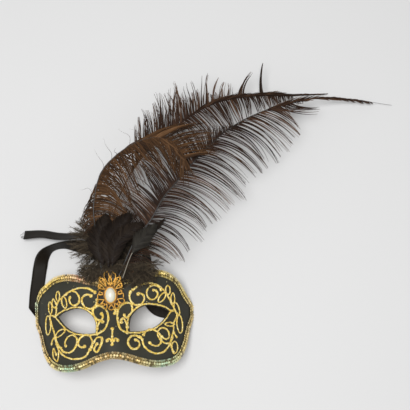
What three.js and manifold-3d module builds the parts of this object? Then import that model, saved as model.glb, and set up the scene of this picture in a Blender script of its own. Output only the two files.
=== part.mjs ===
// A Venetian half mask, lying face up on its temples. A moulded shell carries a sequin braid round its rim,
// raised glitter scrolls, a brooch with a pearl, a fan of ostrich plumes and two ribbon ties.
// Lengths are in millimetres. The face looks up +Z, the brow lies towards +Y.
import * as THREE from "three";
import { mergeVertices } from "three/addons/utils/BufferGeometryUtils.js";
import Module from "manifold-3d";

const wasm = await Module();
wasm.setup();

// Driving sizes of the shell
const faceRadius = 88;
const templeTurn = THREE.MathUtils.degToRad(70);
const faceShift = 2;
const wall = 2;
const faceGap = 0.5;
const templeReach = faceRadius * templeTurn;
const leftEnd = -templeReach - faceShift;
const rightEnd = templeReach - faceShift;

// The rim, as the height y at each distance u round the face from the nose
const upperRim = [
  [leftEnd, 9], [-100, 16.5], [-90, 21.5], [-81, 24.3], [-64, 30.2], [-48, 31.3], [-34, 29], [-22, 25], [0, 21],
  [22, 26], [41, 30.5], [50, 31.5], [60, 30.3], [71, 26], [81, 18.3], [91, 8], [rightEnd, -1],
];
const lowerRim = [
  [leftEnd, -17], [-101, -22], [-94, -32], [-89, -42], [-81, -52.3], [-70, -61.2], [-55, -66.4], [-41, -66.9],
  [-29, -65], [-17, -61.2], [-7, -58.6], [1, -57.6], [12, -59.6], [26, -63.8], [41, -66.8], [54, -66.1],
  [66, -63.2], [76, -57], [87, -43.5], [95, -28.5], [rightEnd, -15],
];

// One eye hole, as distance out from the nose and height: its outer corner, round to its inner corner and back
const eyeShift = 0.6;
const upperLid = [
  [66, -10], [59, -6.6], [49, -4.2], [39, -3.3], [31, -4.9], [24, -9.3], [18.6, -15.6], [15.6, -27.4], [16.4, -31.6],
];
const lowerLid = [[16.4, -31.6], [26.8, -31.4], [37, -29.9], [45.5, -27.2], [53.6, -22.7], [59.6, -17.5], [66, -10]];
const eyeMiddle = [41, -17.5];
const holeScale = 0.97;
const eyeRimScale = 1.05;

// Trims
const braidWidth = 6.8;
const braidThickness = 1.4;
const braidInset = 2.7;
const lineWidth = 1.7;
const lineHeight = 0.7;
const ribbonWidth = 15;
const ribbonThickness = 0.6;
const notchHeight = 2;

const finishes = {
  shell: new THREE.MeshStandardMaterial({ color: 0x33332b, roughness: 0.75 }),
  braid: new THREE.MeshStandardMaterial({ color: 0xc9b04a, roughness: 0.4, metalness: 0.5 }),
  glitter: new THREE.MeshStandardMaterial({ color: 0xd9b83c, roughness: 0.45, metalness: 0.4 }),
  gilt: new THREE.MeshStandardMaterial({ color: 0xc8822c, roughness: 0.3, metalness: 0.9 }),
  pearl: new THREE.MeshStandardMaterial({ color: 0xe9e6dc, roughness: 0.2 }),
  plume: new THREE.MeshStandardMaterial({ color: 0x33221a, roughness: 0.8 }),
  brown_plume: new THREE.MeshStandardMaterial({ color: 0x5a3c20, roughness: 0.8 }),
  hackle: new THREE.MeshStandardMaterial({ color: 0x17130f, roughness: 0.6 }),
  satin: new THREE.MeshStandardMaterial({ color: 0x1c1b18, roughness: 0.4 }),
};

const mask = new THREE.Group();

// A solid from its points and its faces, turned to face outwards.
function solidOf(vertices, faces) {
  const build = (triangles) =>
    new wasm.Manifold(
      new wasm.Mesh({
        numProp: 3,
        vertProperties: new Float32Array(vertices),
        triVerts: new Uint32Array(triangles.flat()),
      }),
    );
  const made = build(faces);
  return made.volume() > 0 ? made : build(faces.map(([a, b, c]) => [a, c, b]));
}

// A solid with its skin through rings of points, each ring with as many points as the next. Each patch between
// two rings is split along its shorter diagonal. A run that isn't endless is closed at both ends by strips
// between the ring's first half and its second.
function skin(rings, endless = false) {
  const count = rings[0].length;
  const spans = endless ? rings.length : rings.length - 1;
  const faces = [];
  for (let i = 0; i < spans; i++) {
    const ring = rings[i];
    const nextRing = rings[(i + 1) % rings.length];
    const here = i * count;
    const next = ((i + 1) % rings.length) * count;
    for (let j = 0; j < count; j++) {
      const k = (j + 1) % count;
      if (ring[j].distanceTo(nextRing[k]) < ring[k].distanceTo(nextRing[j])) {
        faces.push([here + j, next + j, next + k], [here + j, next + k, here + k]);
      } else {
        faces.push([here + j, next + j, here + k], [next + j, next + k, here + k]);
      }
    }
  }
  const lastRing = (rings.length - 1) * count;
  for (let j = 0, k = count - 1; !endless && j + 1 < k; j++, k--) {
    faces.push([j, j + 1, k], [lastRing + j, lastRing + k, lastRing + j + 1]);
    if (j + 1 < k - 1) {
      faces.push([j + 1, k - 1, k], [lastRing + j + 1, lastRing + k, lastRing + k - 1]);
    }
  }
  return solidOf(rings.flat().flatMap((p) => [p.x, p.y, p.z]), faces);
}

function solidOfGeometry(geometry) {
  geometry.deleteAttribute("normal");
  geometry.deleteAttribute("uv");
  const merged = mergeVertices(geometry, 1e-4);
  const order = merged.index.array;
  const corners = (i) => [order[3 * i], order[3 * i + 1], order[3 * i + 2]];
  const faces = Array.from({ length: order.length / 3 }, (_, i) => corners(i));
  return solidOf(merged.attributes.position.array, faces);
}

function addPiece(name, solid, finish) {
  const { vertProperties, triVerts } = solid.getMesh();
  const geometry = new THREE.BufferGeometry();
  geometry.setAttribute("position", new THREE.BufferAttribute(vertProperties, 3));
  geometry.setIndex(new THREE.BufferAttribute(triVerts, 1));
  geometry.computeVertexNormals();
  const piece = new THREE.Mesh(geometry, finishes[finish]);
  piece.name = name;
  mask.add(piece);
}

function block(low, high) {
  const size = high.map((value, axis) => value - low[axis]);
  const centre = high.map((value, axis) => (value + low[axis]) / 2);
  return solidOfGeometry(new THREE.BoxGeometry(...size).translate(...centre));
}

// A smooth hump of height 1 at no distance from its middle
const hump = (distance, spread) => Math.exp(-0.5 * (distance / spread) ** 2);

// How far the modelled face stands out from its plain bend: the nose, brows, eye sockets and cheeks.
function relief(u, y) {
  const side = Math.abs(u);
  const down = THREE.MathUtils.smoothstep(-y, -8, 48);
  const nose = (1.5 + 13.5 * down) * hump(u, 7.5 + 5 * down);
  const brow = 3 * hump(side - 42, 24) * hump(y - 14, 10);
  const socket = 4.5 * hump(side - 40, 19) * hump(y + 17, 11);
  const cheek = 4 * hump(side - 42, 20) * hump(y + 50, 11);
  return nose + brow + cheek - socket;
}

// A point on the face: u runs round it from the nose, y up it, and lift is the height over its outside.
function facePoint(u, y, lift) {
  const turn = (u + faceShift) / faceRadius;
  const reach = faceRadius + relief(u, y) + lift;
  const axisHeight = faceRadius * Math.cos(templeTurn);
  return new THREE.Vector3(reach * Math.sin(turn), y, reach * Math.cos(turn) - axisHeight);
}

// The height of a smooth curve through knots [u, y], at u.
function heightAt(knots, u) {
  const last = knots.length - 1;
  let i = 0;
  while (i < last - 1 && knots[i + 1][0] < u) i++;
  const slope = (k) => {
    const before = knots[Math.max(k - 1, 0)];
    const after = knots[Math.min(k + 1, last)];
    return (after[1] - before[1]) / (after[0] - before[0]);
  };
  const [from, height] = knots[i];
  const [to, nextHeight] = knots[i + 1];
  const t = (u - from) / (to - from);
  const rise = t * t * (3 - 2 * t);
  const bend = (to - from) * (slope(i) * t * (1 - t) ** 2 + slope(i + 1) * t * t * (t - 1));
  return height * (1 - rise) + nextHeight * rise + bend;
}

// The points of a smooth curve through flat knots
function smoothPath(knots, steps, closed = false) {
  const curve = new THREE.CatmullRomCurve3(knots.map(([x, y]) => new THREE.Vector3(x, y, 0)), closed);
  return curve.getPoints(steps).map((p) => [p.x, p.y]);
}

// The floor under the mask, and the way out for the left ribbon under the edge of the temple
const floor = block([-300, -300, -40], [300, 300, 0]);
const ribbonNotch = block([-100, -11, -40], [-60, 40, notchHeight]);

// The closed outline of an eye, scaled about its middle, as distances out from the nose and heights
const eyeSteps = 10;
function eyeOutline(scale) {
  const lids = [...smoothPath(upperLid, eyeSteps).slice(0, -1), ...smoothPath(lowerLid, eyeSteps).slice(0, -1)];
  return lids.map(([out, y]) => [
    eyeMiddle[0] + (out - eyeMiddle[0]) * scale,
    eyeMiddle[1] + (y - eyeMiddle[1]) * scale,
  ]);
}

// The shell: columns of points up the outside of the face and down its inside, then the eye holes cut square
// to the face.
const shellColumns = 38;
const shellRows = 9;
function makeShell() {
  const rings = [];
  for (let c = 0; c <= shellColumns; c++) {
    const u = THREE.MathUtils.lerp(leftEnd, rightEnd, c / shellColumns);
    const low = heightAt(lowerRim, u);
    const high = heightAt(upperRim, u);
    const height = (r) => THREE.MathUtils.lerp(low, high, r / shellRows);
    const heights = Array.from({ length: shellRows + 1 }, (_, r) => height(r));
    const outside = heights.map((y) => facePoint(u, y, 0));
    const inside = heights.map((y) => facePoint(u, y, -wall)).reverse();
    rings.push([...outside, ...inside]);
  }
  let shell = skin(rings).subtract(floor).subtract(ribbonNotch);
  for (const side of [-1, 1]) {
    const hole = eyeOutline(holeScale);
    const layer = (lift) => hole.map(([out, y]) => facePoint(side * out + eyeShift, y, lift));
    shell = shell.subtract(skin([layer(-12), layer(12)]));
  }
  return shell;
}
addPiece("mask_shell", makeShell(), "shell");

// A strip laid on the face along flat points [u, y]. Its section is a list of [across, up] points, as shares of
// its width and its height.
function strip(path, section, width, height, lift, endless = false) {
  const last = path.length - 1;
  const rings = path.map(([u, y], i) => {
    const before = path[endless ? (i + last) % path.length : Math.max(i - 1, 0)];
    const after = path[endless ? (i + 1) % path.length : Math.min(i + 1, last)];
    const along = new THREE.Vector2(after[0] - before[0], after[1] - before[1]).normalize();
    const breadth = typeof width === "function" ? width(i) : width;
    return section.map(([across, up]) =>
      facePoint(u - along.y * across * breadth, y + along.x * across * breadth, lift + up * height),
    );
  });
  return skin(rings, endless);
}

// The braid: along the rim, set in from the edge so that it hangs over a little, with scalloped edges
const rimSteps = 34;
const endSteps = 3;
function rimOutline() {
  const place = (from, to, share) => from + (to - from) * share;
  const walk = (from, to, steps) => Array.from({ length: steps }, (_, i) => place(from, to, i / steps));
  const up = walk(leftEnd, rightEnd, rimSteps).map((u) => [u, heightAt(upperRim, u)]);
  const back = walk(rightEnd, leftEnd, rimSteps).map((u) => [u, heightAt(lowerRim, u)]);
  const end = (u, from, to) => walk(from, to, endSteps).map((y) => [u, y]);
  const right = end(rightEnd, heightAt(upperRim, rightEnd), heightAt(lowerRim, rightEnd));
  const left = end(leftEnd, heightAt(lowerRim, leftEnd), heightAt(upperRim, leftEnd));
  return [...up, ...right, ...back, ...left];
}

function setIn(outline, inset) {
  return outline.map(([u, y], i) => {
    const before = outline[(i + outline.length - 1) % outline.length];
    const after = outline[(i + 1) % outline.length];
    const along = new THREE.Vector2(after[0] - before[0], after[1] - before[1]).normalize();
    return [u + along.y * inset, y - along.x * inset];
  });
}
const braidSection = [[-0.5, 0.1], [-0.35, 1], [0.35, 1], [0.5, 0.1]];
const scallop = (i) => braidWidth * (i % 2 ? 1.05 : 0.95);
const braidPath = setIn(rimOutline(), braidInset);
const braidClearance = [0, 0, 0.2];
const braid = strip(braidPath, braidSection, scallop, braidThickness, faceGap, true)
  .subtract(floor.translate(braidClearance))
  .subtract(ribbonNotch.translate(braidClearance));
addPiece("rim_braid", braid, "braid");

// The strokes of the glitter scrollwork, in distances out from the nose and heights: a stem through its knots,
// a volute that winds in from its first radius to its last, and a closed leaf.
const stem = (...knots) => ({ path: smoothPath(knots, knots.length) });
function volute(out, y, firstRadius, lastRadius, firstAngle, sweep) {
  const steps = Math.ceil(Math.abs(sweep) / 45);
  const path = [];
  for (let i = 0; i <= steps; i++) {
    const angle = THREE.MathUtils.degToRad(firstAngle + (sweep * i) / steps);
    const radius = THREE.MathUtils.lerp(firstRadius, lastRadius, i / steps);
    path.push([out + radius * Math.cos(angle), y + radius * Math.sin(angle)]);
  }
  return { path };
}
const leafSteps = 6;
function leaf(out, y, halfLength, halfWidth, tilt) {
  const turn = THREE.MathUtils.degToRad(tilt);
  const path = [];
  for (let i = 0; i < leafSteps; i++) {
    const angle = (2 * Math.PI * i) / leafSteps;
    const along = halfLength * Math.cos(angle);
    const across = halfWidth * Math.sin(angle);
    path.push([
      out + along * Math.cos(turn) - across * Math.sin(turn),
      y + along * Math.sin(turn) + across * Math.cos(turn),
    ]);
  }
  return { path, endless: true };
}

const leftStrokes = [
  stem([66.5, -9.8], [62, 3], [50.5, 10.3], [36, 15.6], [24, 15.2], [14.8, 9.7]),
  volute(40.3, 5.3, 9.5, 3.8, 30, 390),
  leaf(51.7, 3.4, 5.8, 3.1, 90),
  volute(23.5, 3, 9.6, 5.2, 173, 330),
  stem([19.7, -5.1], [12.3, -3.2], [4.6, -8.9], [3, -17.5], [7, -28.5], [15.5, -32.6]),
  stem([19.7, -5.1], [20, -9], [16.5, -15.8], [10.9, -18.1], [8.6, -14.4], [11, -10.3]),
  stem([15, -28], [13.9, -23.6], [11.9, -19.9], [9.5, -18.6], [7.7, -21.6]),
  leaf(59.3, 10.6, 5, 2.7, 100),
  stem([63.8, 0], [68.2, 0], [69.9, 4], [67.4, 8.8], [63.8, 5.2], [63, 1.6]),
  leaf(73.7, 0.2, 6.2, 3, 97),
  leaf(79.5, -17.3, 9.8, 4.6, 90),
  stem([66.5, -9.8], [75.5, -7.5], [73.7, -15.5], [71, -22], [67, -31]),
  leaf(60.5, -27.2, 6.6, 3, 155),
  stem([67, -31], [60.6, -39.5], [54.7, -43.8]),
  volute(45.5, -38, 11.4, 5, -32, -383),
  stem([67, -31], [64.6, -36.5], [58.7, -45], [49, -52.6], [37, -55.5], [27, -53.6], [20.6, -46]),
  volute(29, -39.7, 10.6, 3.5, 217, -350),
  stem([18.8, -41.5], [14, -36], [8.7, -36.5], [10.3, -45], [14.3, -50.4], [16.8, -47.5], [13.3, -41]),
  stem([67, -31], [71.5, -34], [72.1, -38.7]),
  stem([64.5, -36.5], [59, -46], [62, -56], [68, -51], [68.5, -42], [62.2, -50]),
];
const rightStrokes = [
  stem([20.7, 10.8], [30, 16.4], [40.3, 18.3], [50, 15.5], [60, 7.2], [67.1, -2.2], [76.1, -13.3]),
  stem([66.5, -9.8], [71.5, -8.6]),
  volute(28, 3.5, 10.4, 3, 137, 352),
  volute(43.5, 7.5, 9.6, 3.2, 16, 460),
  leaf(54.2, 3.8, 5.9, 3, 50),
  leaf(61.2, 11.4, 4.8, 3.1, 90),
  leaf(68.6, 3.4, 5.6, 2.8, 95),
  leaf(75, -7, 6.8, 3.3, -60),
  leaf(78.6, -23, 9.4, 4.4, 90),
  stem([76.1, -13.3], [70, -22.7], [68.4, -30.3], [62.2, -41.7], [62.4, -48.4], [66.2, -53.4]),
  leaf(64.5, -23.4, 6, 1.9, 0),
  stem([68.4, -30.3], [70.2, -34.8], [73, -37.4]),
  leaf(67.2, -47.6, 6.4, 4.4, 75),
  volute(55.8, -34.3, 10.4, 3.8, -9, -520),
  volute(42, -39, 11.5, 6, 163, -320),
  stem([29.3, -37.7], [31, -46], [38.8, -52.6], [50, -53], [61.8, -43.2]),
  volute(21.5, -43, 8.9, 3.2, 33, 430),
  stem([29.6, -36.6], [27.2, -37.2], [25.2, -35.4]),
  stem(
    [15.5, -32.6], [9, -29.7], [5.8, -19], [6.8, -7.4], [13, -2], [20.1, -2.4], [21.3, -9], [14.5, -16.6],
    [12, -12.6],
  ),
  stem([15, -28], [14.3, -23.2], [11.8, -17.3], [9, -19.3], [9.4, -23]),
];
const fleurStrokes = [
  stem([0.5, -26.5], [0.7, -36], [0.3, -45.5]),
  stem([0.6, -41.5], [-2, -38], [-4.2, -39.2], [-3.2, -41.4]),
  stem([0.6, -41.5], [3.2, -38], [5.4, -39.2], [4.4, -41.4]),
];

// One half's strokes, or the fleur's, grown together where they cross. Crossing lines differ a little in height.
const lineSection = [[-0.5, 0], [0, 1], [0.5, 0]];
function scrollwork(strokes, side, shift = 0) {
  const lines = strokes.map(({ path, endless = false }, i) => {
    const laid = path.map(([out, y]) => [side * out + shift, y]);
    return strip(laid, lineSection, lineWidth, lineHeight, faceGap + 0.02 * (i % 4), endless);
  });
  return lines.reduce((joined, line) => joined.add(line));
}
const eyeRim = { path: eyeOutline(eyeRimScale), endless: true };
addPiece("glitter_scrolls_left", scrollwork([eyeRim, ...leftStrokes], -1, 0), "glitter");
addPiece("glitter_scrolls_right", scrollwork([eyeRim, ...rightStrokes], 1, 0), "glitter");
addPiece("glitter_fleur", scrollwork(fleurStrokes, 1), "glitter");

// The brooch: a pierced plate with a scalloped edge, a crown above and a point below, and an oval bezel. It leans
// on the quills and on the bridge of the nose.
const broochCentre = [faceShift, 10.6];
const broochHeight = 63.9;
const broochTilt = 3.5;
const broochHalfWidth = 13;
const broochHalfHeight = 16.5;
const broochThickness = 1.2;
const broochLobes = 10;
const piercingPlace = [9.4, 12.6];
const piercingHalf = [1.1, 2];
const bezelCentre = -4.4;
const bezelSteps = 16;
const pearlHalfWidth = 5.2;
const pearlHalfHeight = 7.6;
const pearlHeight = 4.6;

function broochEdge(angle) {
  const lobes = 1 + 0.07 * Math.cos(broochLobes * angle);
  const fromTop = Math.abs(Math.atan2(Math.sin(angle), Math.cos(angle)));
  const point = 3 * hump(fromTop, 0.16) + 3 * hump(Math.PI - fromTop, 0.13);
  return new THREE.Vector2(
    broochHalfWidth * lobes * Math.sin(angle),
    (broochHalfHeight * lobes + point) * Math.cos(angle),
  );
}
const onBrow = (solid) =>
  solid.rotate([broochTilt, 0, 0]).translate([broochCentre[0], broochCentre[1], broochHeight]);
function makeBrooch() {
  const edgeSteps = 4 * broochLobes;
  const edge = Array.from({ length: edgeSteps }, (_, i) => broochEdge((2 * Math.PI * i) / edgeSteps));
  const plate = new THREE.Shape(edge);
  for (let i = 0; i < broochLobes; i++) {
    const angle = (2 * Math.PI * (i + 0.5)) / broochLobes;
    const x = piercingPlace[0] * Math.sin(angle);
    const y = piercingPlace[1] * Math.cos(angle);
    const hole = new THREE.EllipseCurve(x, y, ...piercingHalf, 0, 2 * Math.PI, false, -angle);
    plate.holes.push(new THREE.Path(hole.getPoints(6).slice(1)));
  }
  const flat = new THREE.ExtrudeGeometry(plate, { depth: broochThickness, bevelEnabled: false, curveSegments: 4 });
  const rings = Array.from({ length: bezelSteps }, (_, i) => {
    const angle = (2 * Math.PI * i) / bezelSteps;
    const at = (grow, z) =>
      new THREE.Vector3(
        (pearlHalfWidth + grow) * Math.sin(angle),
        bezelCentre + (pearlHalfHeight + grow) * Math.cos(angle),
        z,
      );
    return [at(0.3, 0.6), at(0.3, broochThickness + 1), at(1.3, broochThickness + 1), at(1.6, 0.6)];
  });
  return onBrow(solidOfGeometry(flat).add(skin(rings, true)));
}
addPiece("brooch", makeBrooch(), "gilt");

// The pearl: an oval dome with a flat back, in the bezel
function makePearl() {
  const profile = [new THREE.Vector2(0, 0)];
  for (let i = 0; i <= 4; i++) {
    const turn = (i * Math.PI) / 8;
    profile.push(new THREE.Vector2(i === 4 ? 0 : Math.cos(turn), Math.sin(turn)));
  }
  const dome = new THREE.LatheGeometry(profile, 14).rotateX(Math.PI / 2);
  dome.scale(pearlHalfWidth, pearlHalfHeight, pearlHeight);
  dome.translate(0, bezelCentre, broochThickness + 0.3);
  return onBrow(solidOfGeometry(dome));
}
addPiece("pearl", makePearl(), "pearl");

// A plume: a quill along knots [x, y, z] and a thin vane on each side of it. A side's vane has its width along
// the quill, how far its barbs sweep forward and how far their ends hang, down to the floor at most. A barb bends
// down past the bend. The vane's edge is toothed where barbs clump.
const vaneThickness = 1.2;
const bendReach = 0.62;
const bendFall = 0.36;
function makePlume({ quill, left, right, steps, quillWidth = 1.8 }) {
  const spine = new THREE.CatmullRomCurve3(quill.map((knot) => new THREE.Vector3(...knot)));
  const up = new THREE.Vector3(0, 0, 1);
  const rings = [];
  for (let i = 0; i <= steps; i++) {
    const s = i / steps;
    const middle = spine.getPointAt(s);
    const along = spine.getTangentAt(s).setZ(0).normalize();
    const tooth = i % 2 ? 1.07 : 0.93;
    const edge = ({ width, sweep, hang }, sign) => {
      const across = along.clone().cross(up).multiplyScalar(sign);
      const turn = THREE.MathUtils.degToRad(sweep);
      const barb = across.multiplyScalar(Math.cos(turn)).addScaledVector(along, Math.sin(turn));
      const reach = Math.max(heightAt(width, s) * tooth, quillWidth / 2);
      const fall = Math.max(heightAt(hang, s) * tooth, 0);
      const tip = middle.clone().addScaledVector(barb, reach).addScaledVector(up, -fall);
      const bend = middle.clone().addScaledVector(barb, reach * bendReach).addScaledVector(up, -fall * bendFall);
      tip.z = Math.max(tip.z, vaneThickness);
      return [tip, bend];
    };
    const [leftTip, leftBend] = edge(left, -1);
    const [rightTip, rightBend] = edge(right, 1);
    const top = [leftTip, leftBend, middle, rightBend, rightTip];
    const under = top.map((p) => p.clone().addScaledVector(up, p === middle ? -quillWidth : -vaneThickness)).reverse();
    rings.push([...top, ...under]);
  }
  return skin(rings);
}

addPiece(
  "plume_front",
  makePlume({
    quill: [
      [8, 20, 63.8], [14, 31, 64.8], [29, 61, 65.6], [46, 81, 67], [59, 102, 68.5], [74, 119, 69], [104, 151, 67],
      [137, 179, 60], [180, 201, 46], [225, 215, 27], [269, 217, 12], [318, 211, 1.8],
    ],
    left: {
      width: [[0, 0], [0.1, 0], [0.18, 22], [0.28, 38], [0.38, 38], [0.5, 24], [0.62, 9], [0.75, 4], [1, 0]],
      sweep: 24,
      hang: [[0, 0], [0.1, 0], [0.3, 4], [0.6, 5], [0.8, 3], [1, 0]],
    },
    right: {
      width: [
        [0, 0], [0.03, 0], [0.09, 36], [0.16, 48], [0.26, 57], [0.45, 57], [0.56, 46], [0.64, 18], [0.75, 5], [1, 0],
      ],
      sweep: 24,
      hang: [[0, 0], [0.03, 0], [0.12, 20], [0.5, 27], [0.62, 8], [0.7, 3], [1, 0]],
    },
    steps: 30,
  }),
  "plume",
);

addPiece(
  "plume_curled",
  makePlume({
    quill: [
      [-4, 20, 63.8], [-6, 31, 64.8], [-11, 72, 65.6], [-12, 100, 68], [-3, 131, 74], [18, 151, 80], [46, 163, 84],
      [64, 162, 84], [77, 154, 82], [85, 140, 79],
    ],
    left: {
      width: [
        [0, 0], [0.28, 0], [0.33, 15], [0.4, 10], [0.46, 3], [0.6, 6], [0.76, 17], [0.84, 30], [0.92, 37], [1, 28],
      ],
      sweep: 20,
      hang: [[0, 0], [0.28, 0], [0.33, 36], [0.4, 40], [0.46, 8], [0.6, 4], [1, 2]],
    },
    right: {
      width: [[0, 0], [0.18, 0], [0.3, 28], [0.45, 40], [0.62, 40], [0.75, 30], [0.85, 22], [1, 2]],
      sweep: 16,
      hang: [[0, 0], [0.3, 0], [0.6, 4], [1, 3]],
    },
    steps: 24,
  }),
  "brown_plume",
);

addPiece(
  "plume_back",
  makePlume({
    quill: [
      [2, 20, 63.8], [2, 31, 64.6], [4, 66, 62.4], [12, 105, 57], [34, 145, 53], [72, 182, 49], [119, 211, 41],
      [168, 221, 29], [204, 223, 17], [248, 228, 1.8],
    ],
    left: {
      width: [[0, 0], [0.28, 0], [0.38, 30], [0.55, 34], [0.71, 32], [0.79, 10], [0.88, 5], [1, 0]],
      sweep: 36,
      hang: [[0, 0], [0.2, 0], [0.4, 5], [0.7, 4], [0.85, 2], [1, 0]],
    },
    right: {
      width: [[0, 0], [0.3, 0], [0.45, 20], [0.7, 20], [0.8, 9], [0.88, 5], [1, 0]],
      sweep: 40,
      hang: [[0, 0], [0.3, 0], [0.5, 3], [0.8, 2], [1, 0]],
    },
    steps: 24,
  }),
  "plume",
);

// The hackles: smooth little feathers over the plumes' feet. Each runs along a bent shaft from its root to its
// tip, widest past its middle, and its edges lie a little lower than its shaft.
const hackleSteps = 7;
const hackleEdgeFall = 1.2;
const hackleRidge = 0.5;
const hackleTipHalf = 0.6;
const hackleWidestLate = 1.2;
const hackleFullness = 0.7;
function makeHackle({ shaft, halfWidth }) {
  const spine = new THREE.CatmullRomCurve3(shaft.map((knot) => new THREE.Vector3(...knot)));
  const up = new THREE.Vector3(0, 0, 1);
  const rings = Array.from({ length: hackleSteps + 1 }, (_, i) => {
    const s = i / hackleSteps;
    const along = spine.getTangentAt(s).setZ(0).normalize();
    const across = new THREE.Vector3(along.y, -along.x, 0);
    const breadth = hackleTipHalf + halfWidth * Math.sin(Math.PI * s ** hackleWidestLate) ** hackleFullness;
    const middle = spine.getPointAt(s);
    const at = (side, rise) => middle.clone().addScaledVector(across, side).addScaledVector(up, rise);
    return [at(-breadth, -hackleEdgeFall), at(0, hackleRidge), at(breadth, -hackleEdgeFall), at(0, -hackleRidge)];
  });
  return skin(rings);
}
const hackles = [
  { shaft: [[-4, 36, 67.8], [-8, 58, 69.8], [1, 88, 69]], halfWidth: 12 },
  { shaft: [[1, 34, 70], [5, 62, 72.2], [25, 88, 71.2]], halfWidth: 12 },
  { shaft: [[5, 35, 72.2], [12, 58, 74.4], [37, 77, 73.4]], halfWidth: 11 },
  { shaft: [[15, 22, 69.5], [28, 49, 77], [51, 74, 76.4]], halfWidth: 11 },
  { shaft: [[24, 44, 69.6], [38, 62, 70.6], [60, 80, 69.8]], halfWidth: 6 },
];
hackles.forEach((hackle, i) => addPiece(`hackle_${i + 1}`, makeHackle(hackle), "hackle"));

// The down: a lumpy cushion of fluff just above the brow, under the quills
const downCentre = [4, 63, 41.4];
const downRadii = [38, 29, 19];
function makeDown() {
  const ball = new THREE.SphereGeometry(1, 14, 8);
  const spots = ball.attributes.position;
  for (let i = 0; i < spots.count; i++) {
    const p = new THREE.Vector3().fromBufferAttribute(spots, i);
    const lump = 1 - 0.07 * (1 + Math.sin(5 * p.x + 3 * p.y) * Math.cos(6 * p.z - 2 * p.x));
    spots.setXYZ(i, p.x * downRadii[0] * lump, p.y * downRadii[1] * lump, p.z * downRadii[2] * lump);
  }
  return solidOfGeometry(ball.translate(...downCentre));
}
addPiece("down_tuft", makeDown(), "hackle");

// A flat ribbon along knots [x, y, z, lean]: the middle of its width, and how far its left edge stands up
function ribbonRings(knots, steps) {
  const middles = new THREE.CatmullRomCurve3(knots.map(([x, y, z]) => new THREE.Vector3(x, y, z)));
  const leans = new THREE.CatmullRomCurve3(knots.map((knot) => new THREE.Vector3(knot[3], 0, 0)));
  return Array.from({ length: steps + 1 }, (_, i) => {
    const middle = middles.getPoint(i / steps);
    const along = middles.getTangent(i / steps);
    const lean = THREE.MathUtils.degToRad(leans.getPoint(i / steps).x);
    const level = new THREE.Vector3(along.y, -along.x, 0).normalize();
    const across = level.multiplyScalar(Math.cos(lean)).addScaledVector(new THREE.Vector3(0, 0, 1), -Math.sin(lean));
    return ribbonRing(middle, across.multiplyScalar(ribbonWidth / 2), across.clone().cross(along).normalize());
  });
}
function ribbonRing(middle, half, face) {
  const at = (side, rise) =>
    middle.clone().addScaledVector(half, side).addScaledVector(face, (rise * ribbonThickness) / 2);
  return [at(-1, 1), at(1, 1), at(1, -1), at(-1, -1)];
}

// The left tie comes down the inside of the temple, out under its edge, folds over and runs up past the brow.
const leftInside = [
  [-71.6, -3.5, 15, 0], [-74.6, -3.5, 7.5, 0], [-75.8, -3.5, 2.2, 0], [-77, -3.5, 0.7, 0], [-79.5, -3.5, 0.5, 0],
];
const leftOutside = [
  [-84.5, 4.6, 1.4, 0], [-83.3, 20, 0.6, 0], [-81, 36, 0.6, 0], [-79, 47, 1.9, 9], [-75, 59, 5.4, 38],
  [-66, 67, 7.9, 70], [-54, 70, 7.9, 70], [-40, 69, 6, 45], [-22, 65, 1.6, 6], [-4, 57, 0.6, 0], [10, 51, 0.6, 0],
  [24, 50, 0.6, 0],
];
const foldHalf = new THREE.Vector3(-5.6, 7.5, 0);
const foldInwards = new THREE.Vector3(7.5, 5.6, 0).normalize();
const foldRing = ribbonRing(new THREE.Vector3(-86, -3.5, 0.95), foldHalf, foldInwards);
const leftRings = [
  ...ribbonRings(leftInside, 8),
  foldRing,
  ...ribbonRings(leftOutside, 34).map(([a, b, c, d]) => [c, d, a, b]),
];
addPiece("ribbon_left", skin(leftRings), "satin");

// The right tie runs inwards under the eye and the feathers, and its cut end comes out on the far side.
const rightKnots = [
  [71.8, -5, 13, 0], [68.6, -6, 6, 0], [62, -6.5, 1.6, 0], [54, -6.3, 0.6, 0], [45.5, -3, 1.6, -7], [39, 5, 1.9, -10],
  [35, 16, 1.6, -7], [34, 34, 4, 20], [37, 54, 7, 60], [28, 73, 7.4, 66], [6, 82, 7.4, 62], [-18, 83, 7.2, 58],
  [-38, 79.5, 7, 55], [-57, 80, 6.6, 50], [-76, 83.6, 6.3, 48], [-95, 83.5, 5.6, 42],
];
addPiece("ribbon_right", skin(ribbonRings(rightKnots, 40)), "satin");

// The part's origin is the middle of its footprint, on the surface that it lies on.
const reach = new THREE.Box3().setFromObject(mask);
const middle = reach.getCenter(new THREE.Vector3());
mask.position.set(-middle.x, -middle.y, -reach.min.z);

const group = new THREE.Group();
group.add(mask);

export default group;
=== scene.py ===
# A Venetian half mask, lying face up on its temples: a black moulded shell with a sequin braid, gold glitter
# scrolls and a pearl brooch, a fan of ostrich plumes with hackles and down at its foot, and two satin ties.
# Sizes in the sections are in millimetres from the middle of the face, as the maker would measure them.
import math

import bmesh
import bpy
import numpy as np
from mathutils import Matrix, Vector
from mathutils.geometry import delaunay_2d_cdt


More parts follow.
